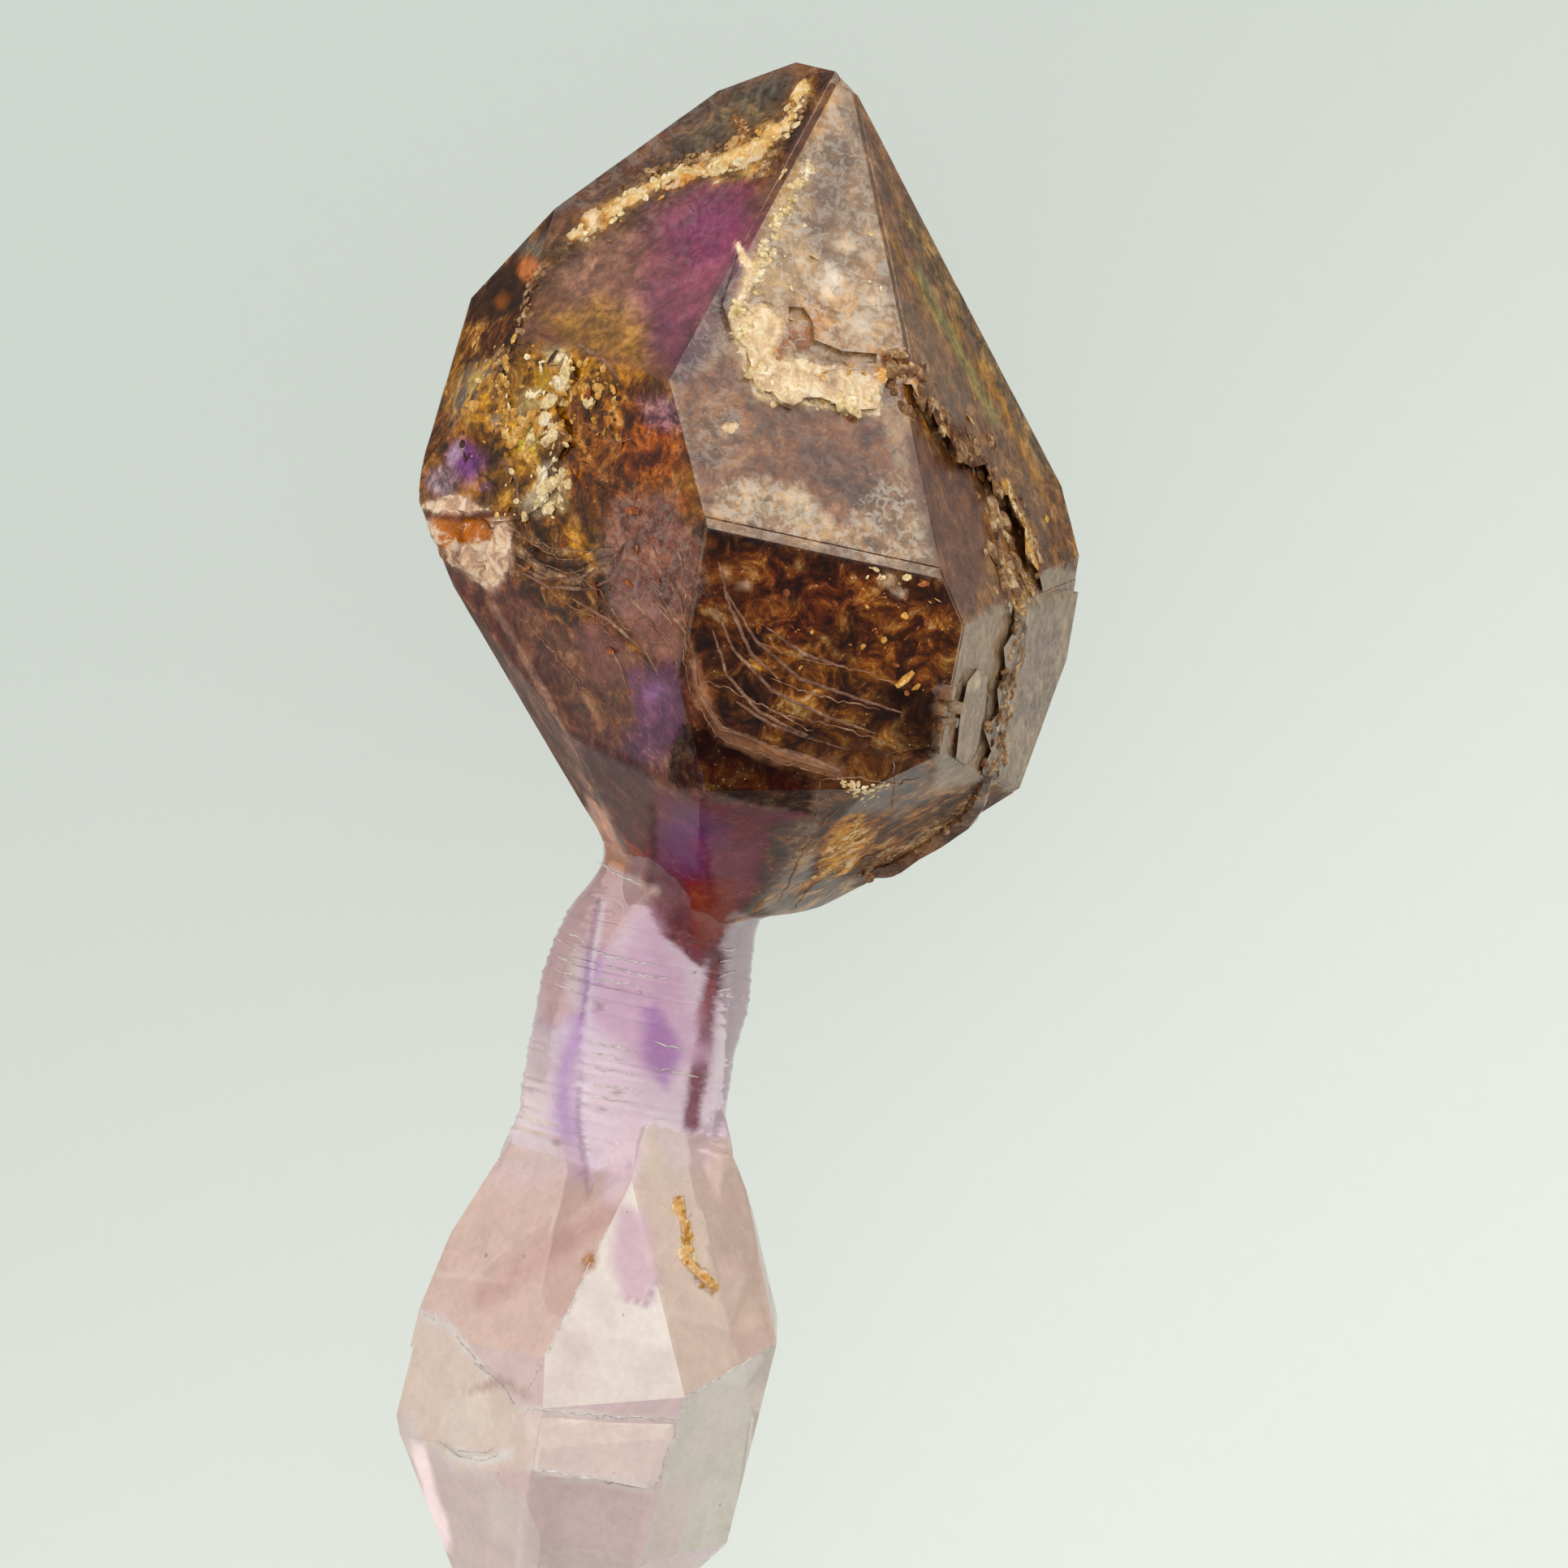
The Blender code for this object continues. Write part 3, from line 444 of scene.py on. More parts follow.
SIDE_FRONT_MARKS = [
    patch([(870, 650), (1010, 672), (1158, 704), (1186, 770), (1150, 935), (1030, 930),
           (920, 880), (868, 800)], (70, 32, 14), 0.9, 5, 4, on=("side_front",), flake=0.9,
          clear=0.45),
    patch([(876, 664), (930, 680), (930, 760), (900, 800), (868, 760)], (96, 54, 38), 0.85,
          16, 10, on=("side_front",), flake=0.6, clear=0.45),
    patch([(940, 690), (1080, 700), (1096, 750), (1010, 800), (930, 770)], (112, 46, 16), 0.85,
          18, 12, on=("side_front",), flake=1.0),
    patch([(1060, 740), (1168, 738), (1178, 800), (1130, 850), (1050, 830)], (124, 64, 16),
          0.85, 16, 12, on=("side_front",), flake=1.0),
    patch([(940, 800), (1010, 780), (1060, 840), (1000, 880), (940, 860)], (98, 50, 12), 0.75,
          16, 12, on=("side_front",), flake=1.0),
    patch([(880, 820), (950, 830), (980, 900), (920, 900), (880, 870)], (66, 38, 26), 0.7, 14,
          9, flake=0.8),
    patch([(1086, 846), (1150, 850), (1152, 938), (1098, 912)], (24, 10, 8), 0.95, 9, 8,
          flake=0.25, clear=0.15),
    spot(1050, 760, 15, (50, 28, 20), 0.8, 9, 8, on=("side_front",)),
    spot(980, 740, 14, (58, 30, 20), 0.7, 9, 8, on=("side_front",)),
    spot(1095, 716, 10, (250, 224, 196), 0.95, 4, 7, on=("side_front",), flake=0.2),
    spot(1078, 728, 7, (246, 206, 170), 0.9, 3, 5, on=("side_front",), flake=0.2),
    spot(1108, 732, 6, (250, 232, 214), 0.9, 3, 4, on=("side_front",), flake=0.2),
    spot(918, 722, 6, (240, 210, 186), 0.85, 3, 3, on=("side_front",), flake=0.2),
    spot(896, 706, 5, (226, 190, 160), 0.8, 3, 3, on=("side_front",), flake=0.2),
    spot(1128, 700, 6, (216, 160, 110), 0.8, 4, 4, on=("side_front",), flake=0.2),
    stroke([(872, 656), (1010, 680), (1150, 706)], 4, (44, 24, 18), 0.8, 3, 2,
           on=("side_front",)),
    stroke([(930, 790), (990, 816), (1060, 830), (1120, 846)], 2.6, (176, 128, 82), 0.7, 2, 3),
    stroke([(930, 820), (1000, 848), (1080, 862)], 2.6, (170, 124, 84), 0.7, 2, 3),
    stroke([(950, 850), (1010, 876), (1090, 882)], 2.4, (160, 118, 86), 0.7, 2, 3),
    stroke([(960, 880), (1030, 898), (1100, 908)], 2.4, (150, 112, 86), 0.65, 2, 3),
]
UNDER_MARKS = [
    patch([(600, 735), (760, 800), (860, 800), (880, 870), (830, 950), (705, 905), (640, 850)],
          (120, 80, 72), 0.8, 16, 10, clear=0.58, flake=0.5),
    patch([(570, 725), (640, 760), (705, 900), (735, 1010), (700, 960), (610, 800)],
          (92, 62, 58), 0.85, 12, 8, clear=0.2, flake=0.3),
    patch([(700, 830), (780, 830), (800, 880), (720, 890)], (138, 98, 84), 0.6, 14, 8,
          clear=0.6, flake=0.6),
    spot(806, 866, 20, (176, 132, 190), 0.8, 14, 6, clear=0.7),
    spot(796, 918, 24, (126, 84, 128), 0.7, 16, 8, clear=0.6),
    patch([(710, 905), (830, 960), (808, 1040), (745, 1010)], (96, 54, 50), 0.85, 3, 3,
          clear=0.3, flake=0.3),
    patch([(832, 884), (900, 905), (1006, 950), (1000, 1006), (822, 968)], (24, 8, 10), 0.97,
          3, 3, flake=0.12, clear=0.05),
    patch([(848, 940), (980, 965), (978, 990), (838, 962)], (60, 26, 22), 0.5, 8, 9, flake=0.5),
    patch([(940, 900), (1100, 910), (1104, 1000), (1010, 1004), (1000, 950)], (88, 58, 42),
          0.85, 8, 6, clear=0.45, flake=0.5),
    patch([(1100, 925), (1150, 940), (1150, 985), (1100, 1010)], (84, 62, 52), 0.85, 8, 5,
          clear=0.4),
    patch([(1005, 1085), (1012, 1040), (1058, 1003), (1076, 1026), (1042, 1076)],
          (196, 140, 62), 0.9, 5, 6, crust=0.45, clear=0.25),
    patch([(940, 1120), (985, 1010), (1008, 1010), (1000, 1080), (960, 1128)],
          (132, 98, 74), 0.8, 7, 5, clear=0.5, frost=0.3),
    patch([(950, 1130), (1010, 1085), (1060, 1078), (1050, 1096), (985, 1132)], (128, 104, 80),
          0.8, 6, 5, clear=0.5),
    stroke([(848, 790), (862, 850), (888, 900), (958, 930), (1032, 952)], 7, (188, 146, 122),
           0.8, 3, 3, clear=0.4, flake=0.2),
    stroke([(705, 908), (770, 938), (830, 968)], 3, (90, 66, 62), 0.7, 2, 2),
    patch([(752, 700), (800, 720), (846, 790), (830, 830), (790, 800), (760, 760)],
          (180, 136, 132), 0.75, 5, 5, clear=0.6, flake=0.15),
    patch([(700, 770), (742, 760), (776, 800), (770, 850), (726, 840)], (158, 112, 108), 0.65,
          5, 5, clear=0.6, flake=0.2),
    patch([(772, 826), (834, 812), (842, 884), (822, 918), (784, 902)], (134, 84, 126), 0.8,
          5, 5, clear=0.62, flake=0.3),
    spot(806, 850, 14, (196, 146, 204), 0.75, 8, 6, clear=0.7, flake=0.2),
    patch([(716, 905), (784, 935), (806, 960), (800, 1000), (740, 990)], (74, 36, 44), 0.85,
          2, 2, clear=0.3, flake=0.2),
    stroke([(606, 745), (640, 800), (690, 890), (735, 990)], 4, (164, 134, 124), 0.7, 2.5, 2),
    stroke([(640, 740), (700, 800), (720, 880)], 3, (150, 116, 100), 0.6, 2.5, 3),
]
NECK_MARKS = [
    patch([(806, 975), (1000, 1004), (950, 1020), (938, 1080), (905, 1135), (866, 1196),
           (812, 1150), (790, 1100)], (104, 38, 54), 0.97, 2.5, 3, clear=0.32, flake=0.15),
    spot(850, 1040, 36, (104, 30, 104), 0.95, 26, 10, clear=0.4),
    patch([(858, 1040), (935, 1040), (925, 1090), (880, 1120)], (132, 56, 84), 0.75, 14, 8,
          clear=0.5),
    patch([(845, 1090), (905, 1085), (900, 1135), (860, 1170)], (150, 60, 40), 0.85, 12, 8,
          clear=0.4),
    patch([(738, 1020), (806, 1000), (806, 1092), (742, 1066)], (128, 64, 62), 0.9, 8, 5,
          clear=0.35),
    patch([(760, 950), (800, 960), (806, 1020), (780, 1040), (752, 1010)], (84, 44, 44), 0.8,
          4, 4, clear=0.3, flake=0.2),
    # A peach patch, a peach spot and a pale stroke along the crease on the neck's left: painted
    # highlights.
    patch([(724, 985), (752, 1000), (760, 1060), (742, 1066), (728, 1030)], (214, 138, 104),
          0.75, 6, 5, clear=0.5),
    spot(752, 1064, 20, (236, 168, 130), 0.8, 12, 6, clear=0.7),
    stroke([(736, 1062), (770, 1082), (804, 1096)], 3.5, (240, 214, 200), 0.8, 2.5, 2),
    stroke([(804, 985), (806, 1040), (800, 1098)], 4, (64, 26, 36), 0.85, 2, 2, clear=0.2),
    stroke([(884, 1180), (872, 1240), (864, 1300), (852, 1386)], 11, (104, 40, 56), 0.97, 4, 3,
           clear=0.5),
    stroke([(880, 1190), (864, 1260)], 6, (140, 66, 66), 0.6, 4, 4),
]
STEM_MARKS = [
    patch([(735, 1070), (800, 1100), (742, 1180), (722, 1262), (660, 1262), (668, 1160)],
          (226, 186, 186), 0.8, 12, 8, clear=0.62),
    stroke([(732, 1190), (712, 1270), (688, 1330), (700, 1400), (716, 1440)], 15,
           (196, 150, 220), 0.8, 18, 5, clear=0.66),
    patch([(742, 1190), (800, 1130), (850, 1200), (870, 1300), (800, 1330), (735, 1260)],
          (226, 186, 214), 0.75, 16, 9, clear=0.62),
    patch([(790, 1240), (812, 1230), (840, 1300), (820, 1340), (796, 1310)], (176, 128, 190),
          0.85, 10, 6, clear=0.62),
    patch([(738, 1300), (800, 1340), (792, 1440), (750, 1490), (728, 1420)], (255, 232, 246),
          0.8, 12, 7, clear=0.62, frost=0.3),
    patch([(904, 1130), (938, 1140), (926, 1260), (900, 1400), (872, 1400), (885, 1290)],
          (242, 226, 238), 0.9, 10, 5, clear=0.62),
    patch([(650, 1270), (690, 1290), (676, 1390), (630, 1390)], (255, 238, 240), 0.7, 12, 7,
          clear=0.62, frost=0.3),
    patch([(650, 1400), (720, 1410), (730, 1450), (640, 1470), (600, 1440)], (236, 214, 214),
          0.7, 18, 9, clear=0.62),
    patch([(800, 1390), (880, 1400), (870, 1450), (820, 1460)], (236, 216, 228), 0.6, 14, 8,
          clear=0.62),
    # A thin dark lilac line and thin white lines along the stem's face edges: painted shade and
    # painted highlights.
    stroke([(738, 1110), (724, 1190), (716, 1280), (712, 1380), (726, 1470)], 2.6,
           (146, 110, 150), 0.6, 2, 1.5),
    stroke([(744, 1112), (730, 1190), (722, 1280), (719, 1380), (733, 1468)], 2.2,
           (255, 246, 252), 0.7, 2, 1.5),
    stroke([(906, 1130), (896, 1240), (884, 1330), (876, 1400)], 2.4, (255, 248, 252), 0.7, 2,
           1.5),
    stroke([(706, 1180), (708, 1240)], 10, (242, 233, 228), 0.6, 8, 5),
    spot(738, 1240, 5, (130, 100, 96), 0.7, 3, 2),
    spot(760, 1345, 4, (140, 110, 110), 0.7, 3, 2),
    spot(742, 1368, 4, (140, 110, 110), 0.7, 3, 2),
    spot(686, 1408, 4, (150, 120, 110), 0.7, 3, 2),
]
FOOT_MARKS = [
    patch([(748, 1502), (640, 1560), (530, 1640), (512, 1610), (600, 1470), (720, 1450)],
          (240, 214, 202), 0.5, 12, 5, on=("taper_left",), clear=0.62),
    stroke([(596, 1596), (680, 1540), (748, 1498)], 15, (206, 164, 158), 0.6, 13, 3,
           on=("taper_left",), clear=0.62),
    patch([(764, 1486), (802, 1490), (812, 1570), (796, 1604), (768, 1604), (754, 1550)],
          (240, 206, 222), 0.85, 9, 4, clear=0.62),
    stroke([(756, 1550), (768, 1602), (798, 1606), (812, 1570)], 3, (168, 128, 170), 0.6, 2.5,
           2),
    patch([(690, 1640), (720, 1640), (725, 1700), (700, 1720), (676, 1700)], (248, 232, 230),
          0.6, 14, 6),
    patch([(790, 1420), (860, 1430), (905, 1460), (950, 1640), (850, 1716), (800, 1540)],
          (234, 214, 198), 0.6, 12, 5, on=("taper_right",), clear=0.62),
    patch([(860, 1560), (930, 1580), (950, 1640), (880, 1690)], (226, 208, 190), 0.6, 24, 6,
          on=("taper_right",)),
    stroke([(836, 1486), (846, 1520), (846, 1552), (862, 1570), (880, 1588)], 8,
           (216, 160, 84), 0.95, 3, 6, crust=1.0, clear=0.05),
    spot(848, 1530, 9, (232, 204, 150), 0.9, 4, 5, crust=1.0),
    spot(864, 1572, 10, (206, 140, 54), 0.9, 4, 5, crust=1.0),
    spot(724, 1554, 8, (178, 104, 46), 0.9, 4, 4, crust=0.5),
    stroke([(640, 1735), (740, 1744), (842, 1750)], 3.5, (251, 249, 246), 0.8, 2.5, 2),
    patch([(642, 1742), (842, 1756), (806, 1830), (655, 1808)], (250, 234, 226), 0.85, 3, 2,
          clear=0.55, frost=0.15),
    # A white stroke along the lower edge of the raised band: a painted highlight.
    stroke([(655, 1810), (720, 1820), (800, 1836)], 5, (250, 248, 246), 0.9, 3, 2, frost=0.5),
    patch([(655, 1818), (800, 1842), (778, 1945), (640, 1945)], (216, 198, 198), 0.9, 3, 2,
          clear=0.62),
    patch([(655, 1830), (690, 1836), (690, 1945), (645, 1945)], (208, 190, 192), 0.6, 10, 3),
    # The greys on the foot's right faces, in this patch and the next: a painted reflection.
    patch([(846, 1722), (958, 1655), (905, 1860), (880, 1945), (785, 1945), (806, 1836)],
          (216, 216, 204), 0.7, 4, 2,
          on=("foot_right", "foot_far_right"), clear=0.6, frost=0.15),
    patch([(860, 1720), (930, 1690), (905, 1780), (860, 1800)], (226, 224, 212), 0.6, 18, 5),
    patch([(800, 1850), (850, 1820), (840, 1945), (790, 1945)], (224, 206, 204), 0.6, 14, 4),
    patch([(512, 1612), (560, 1640), (590, 1690), (640, 1735), (655, 1810), (560, 1810),
           (482, 1735)], (244, 228, 214), 0.85, 4, 3, clear=0.6, frost=0.2),
    patch([(545, 1722), (596, 1712), (612, 1760), (570, 1784), (540, 1770)], (250, 238, 226),
          0.7, 3, 2, frost=0.2),
    # White strokes along the foot's edges: painted highlights.
    stroke([(556, 1790), (590, 1800), (624, 1792)], 6, (251, 250, 246), 0.9, 3, 3, frost=0.6),
    stroke([(512, 1614), (552, 1636), (586, 1676), (600, 1694)], 3.5, (250, 247, 242), 0.8,
           2.5, 3),
    stroke([(560, 1720), (620, 1700), (650, 1720)], 3, (172, 146, 132), 0.6, 2.5, 3),
    patch([(484, 1750), (556, 1812), (640, 1830), (636, 1945), (540, 1945)], (222, 200, 196),
          0.8, 5, 3, clear=0.62),
    stroke([(516, 1786), (528, 1830), (548, 1900)], 9, (255, 236, 240), 1.0, 4, 2,
           clear=0.15),
    stroke([(496, 1750), (506, 1780)], 8, (237, 230, 226), 0.7, 5, 4),
    patch([(600, 1830), (640, 1830), (630, 1900), (606, 1890)], (233, 224, 218), 0.6, 9, 6),
]
MARKS = (
    POINT_LEFT_MARKS + SHOULDER_MARKS + SIDE_LEFT_MARKS + KNOB_MARKS + POINT_FRONT_MARKS
    + POINT_RIGHT_MARKS + SIDE_RIGHT_MARKS + SIDE_FRONT_MARKS + UNDER_MARKS + NECK_MARKS
    + STEM_MARKS + FOOT_MARKS
)


def depth_in_patch(places, points):
    """How far inside a patch's outline each place lies; below 0 outside it."""
    inside = np.zeros(len(places), bool)
    nearest = np.full(len(places), 1e9)
    for (ax, ay), (bx, by) in zip(points, points[1:] + points[:1]):
        nearest = np.minimum(nearest, distance_to_piece(places, ax, ay, bx, by))
        crosses = (ay > places[:, 1]) != (by > places[:, 1])
        if by != ay:
            at = (bx - ax) * (places[:, 1] - ay) / (by - ay) + ax
            inside ^= crosses & (places[:, 0] < at)
    return np.where(inside, nearest, -nearest)


def distance_to_piece(places, ax, ay, bx, by):
    run = np.array([bx - ax, by - ay])
    length = float(run @ run) or 1.0
    away = places - np.array([ax, ay])
    share = np.clip(away @ run / length, 0.0, 1.0)
    return np.linalg.norm(away - share[:, None] * run, axis=1)


def cover_of(mark, places, waver):
    """How much of each place a mark covers, from 0 to 1."""
    points = mark["points"]
    if mark["form"] == "patch":
        depth = depth_in_patch(places, points)
    else:
        near = np.full(len(places), 1e9)
        for (ax, ay), (bx, by) in zip(points, points[1:]):
            near = np.minimum(near, distance_to_piece(places, ax, ay, bx, by))
        depth = mark["width"] - near
    depth = depth + mark["wobble"] * waver
    return smooth_step(-mark["soft"], mark["soft"], depth) * mark["strength"]


def close_to(mark, places):
    """The places near enough to a mark to take any of it."""
    outline = np.array(mark["points"], float)
    reach = mark.get("width", 0) + mark["soft"] + 2 * mark["wobble"]
    low = outline.min(axis=0) - reach
    high = outline.max(axis=0) + reach
    return np.nonzero(((places > low) & (places < high)).all(axis=1))[0]


def lay_marks(points_mm, up, names):
    """The colour and the kinds of surface at each place, from the ground coat and the marks."""
    layers = {key: np.zeros(len(points_mm)) for key in LAYER_NAMES}
    tint = np.zeros((len(points_mm), 3))
    for name, (colour, clear, flake, frost) in GROUND.items():
        ours = names == name
        tint[ours] = linear(colour)
        layers["clear"][ours] = clear
        layers["flake"][ours] = flake
        layers["frost"][ours] = frost
    places = in_picture(points_mm)
    waver = layered_grain(points_mm, 1.6, 3.0, 3)
    front = smooth_step(-0.12, 0.12, up)
    head = smooth_step(0.0, 4.0, points_mm[:, 1])
    for colour, seed, clear in BACK_ZONES:
        zone = smooth_step(0.15, 0.7, layered_grain(points_mm, 7.5, seed, 3))
        zone *= (1.0 - front) * head * 0.85
        tint += (linear(colour) - tint) * zone[:, None]
        layers["clear"] += (clear - layers["clear"]) * zone
    seen = np.nonzero(front > 0.0)[0]
    seen_places = places[seen]
    for mark in MARKS:
        near = seen[close_to(mark, seen_places)]
        if mark["on"]:
            near = near[np.isin(names[near], mark["on"])]
        if not len(near):
            continue
        cover = cover_of(mark, places[near], waver[near]) * front[near]
        tint[near] += (linear(mark["colour"]) - tint[near]) * cover[:, None]
        for key, goal in mark["more"].items():
            layers[key][near] += (goal - layers[key][near]) * cover
        if "crust" not in mark["more"]:
            layers["crust"][near] *= 1.0 - cover
    return tint, layers


# Making the crystal. Its edges are divided down to these lengths, in millimetres.

EDGE = 0.52
BACK_EDGE = 0.75
CRUST_EDGE = 0.27
BACK_BELOW = 9.0  # height in millimetres under which the back's length is enough
CRUST_ABOVE = 10.0
MOST_ROUNDS = 12

# The stretch of the stem whose ribs are softened, each end fading over a length.
STEM_TOP = (3.6, 1.6)
STEM_END = (-11.5, -9.0)
CALM_ROUNDS = 14
CALM_SHARE = 0.6


def pick_nothing():
    if bpy.context.mode != "OBJECT":
        bpy.ops.object.mode_set(mode="OBJECT")
    bpy.ops.object.select_all(action="DESELECT")


def work_on(piece):
    pick_nothing()
    piece.select_set(True)
    bpy.context.view_layer.objects.active = piece


def copy_of_solid(node, name):
    piece = node.copy()
    piece.data = node.data.copy()
    piece.name = name
    piece.data.name = name
    for key in list(piece.keys()):
        del piece[key]
    piece.parent = None
    bpy.context.scene.collection.objects.link(piece)
    piece.data.materials.clear()
    return piece


def read_all(items, name, width):
    values = np.empty(len(items) * width)
    items.foreach_get(name, values)
    return values.reshape(-1, width)


def edge_ends(mesh):
    """The numbers of the points at the first and at the second end of every edge."""
    ends = np.empty(len(mesh.edges) * 2, np.int32)
    mesh.edges.foreach_get("vertices", ends)
    return ends[0::2], ends[1::2]


def divide_long_edges(piece):
    """Halves every edge longer than the wanted length, over and over, and keeps triangles."""
    work_on(piece)
    mesh = piece.data
    for _ in range(MOST_ROUNDS):
        spots = read_all(mesh.vertices, "co", 3) / MM
        first, second = edge_ends(mesh)
        length = np.linalg.norm(spots[first] - spots[second], axis=1)
        long = length > wanted_length((spots[first] + spots[second]) / 2)
        if not long.any():
            break
        held = np.zeros(len(spots), bool)
        held[first[long]] = True
        held[second[long]] = True
        mesh.polygons.foreach_set("select", np.zeros(len(mesh.polygons), bool))
        mesh.vertices.foreach_set("select", held)
        mesh.edges.foreach_set("select", long)
        bpy.ops.object.mode_set(mode="EDIT")
        bpy.ops.mesh.subdivide(number_cuts=1)
        bpy.ops.mesh.select_all(action="SELECT")
        bpy.ops.mesh.quads_convert_to_tris(quad_method="SHORTEST_DIAGONAL", ngon_method="BEAUTY")
        bpy.ops.object.mode_set(mode="OBJECT")


def wanted_length(middles_mm):
    """Short edges under the crusts and the fine marks of the head, longer ones elsewhere."""
    places = in_picture(middles_mm)
    goal = np.full(len(middles_mm), EDGE)
    goal[middles_mm[:, 2] < BACK_BELOW] = BACK_EDGE
    for mark in MARKS:
        if mark["more"].get("crust", 0) < 0.3:
            continue
        near = close_to(mark, places)
        near = near[middles_mm[near, 2] > CRUST_ABOVE]
        cover = cover_of(mark, places[near], np.zeros(len(near)))
        goal[near] = np.where(cover > 0.02, CRUST_EDGE, goal[near])
    return goal


def prepare_crystal(node):
    """A copy of the solid with its flat faces made whole again and then divided evenly."""
    crystal = copy_of_solid(node, "amethyst_crystal")
    work_on(crystal)
    bpy.ops.object.mode_set(mode="EDIT")
    bpy.ops.mesh.select_mode(type="EDGE")
    bpy.ops.mesh.select_all(action="SELECT")
    bpy.ops.mesh.remove_doubles(threshold=2e-6)
    bpy.ops.mesh.dissolve_limited(angle_limit=radians(0.2))
    bpy.ops.mesh.quads_convert_to_tris(quad_method="BEAUTY", ngon_method="BEAUTY")
    bpy.ops.object.mode_set(mode="OBJECT")
    divide_long_edges(crystal)
    return crystal


def calm_stem(mesh, spots):
    """Softens the stem's cross ribs, apart from the patches where they stay sharp."""
    first, second = edge_ends(mesh)
    along = spots[:, 1]
    stem = smooth_step(*STEM_TOP, along) * smooth_step(*STEM_END, along)
    loose = stem * smooth_step(-0.9, -0.1, layered_grain(spots, 3.4, 19.0, 1)) * CALM_SHARE
    neighbours = np.bincount(np.concatenate([first, second]), minlength=len(spots))
    for _ in range(CALM_ROUNDS):
        middle = np.zeros_like(spots)
        for axis in range(3):
            middle[:, axis] = np.bincount(first, spots[second, axis], len(spots))
            middle[:, axis] += np.bincount(second, spots[first, axis], len(spots))
        middle /= neighbours[:, None]
        spots = spots + (middle - spots) * loose[:, None]
    return spots


def store_layers(mesh, tint, layers):
    colours = mesh.attributes.new("tint", "FLOAT_COLOR", "CORNER")
    colours.data.foreach_set("color", np.column_stack([tint, np.ones(len(tint))]).ravel())
    for key, values in layers.items():
        layer = mesh.attributes.new(key, "FLOAT", "CORNER")
        layer.data.foreach_set("value", values)


def raise_crusts(mesh, spots, corners, layers):
    """Lifts crusts, frost and flakes off the faces, but leaves the resting faces flat."""
    outward = read_all(mesh.vertex_normals, "vector", 3)
    times = np.bincount(corners, minlength=len(spots))
    crust, frost, flake = (
        np.bincount(corners, weights=layers[key], minlength=len(spots)) / times
        for key in ("crust", "frost", "flake")
    )
    fine = layered_grain(spots, 0.7, 11.0, 3)
    broad = layered_grain(spots, 2.6, 5.0, 2)
    lift = crust * (0.09 + 0.15 * fine)
    lift += 0.010 * frost * fine
    lift += 0.016 * flake * fine
    lift += 0.005 * broad
    rest = spots[:, 2] < 0.15
    lift[rest] = np.minimum(lift[rest], 0.0)
    spots = spots + outward * lift[:, None]
    spots[:, 2] = np.maximum(spots[:, 2], 0.0)
    mesh.vertices.foreach_set("co", (spots * MM).ravel())
    mesh.update()


def dress_crystal(crystal):
    """Lays the marks on the crystal's corners, and raises its crusts."""
    mesh = crystal.data
    centres = read_all(mesh.polygons, "center", 3) / MM
    normals = read_all(mesh.polygons, "normal", 3)
    names = name_faces(centres, normals)
    corners = np.empty(len(mesh.loops), np.int32)
    mesh.loops.foreach_get("vertex_index", corners)
    spots = calm_stem(mesh, read_all(mesh.vertices, "co", 3) / MM)
    owner = np.repeat(np.arange(len(names)), 3)
    tint, layers = lay_marks(spots[corners], normals[owner, 2], names[owner])
    store_layers(mesh, tint, layers)

    # The head is stained by iron all over, apart from its etched front face.
    stained = np.isin(names, [name for name in HEAD_FACES if name != "point_front"])
    stained |= names == "head_rest"
    mesh.polygons.foreach_set("material_index", stained.astype(np.int32))

    raise_crusts(mesh, spots, corners, layers)
    work_on(crystal)
    bpy.ops.object.shade_smooth_by_angle(angle=radians(16))


# Materials.


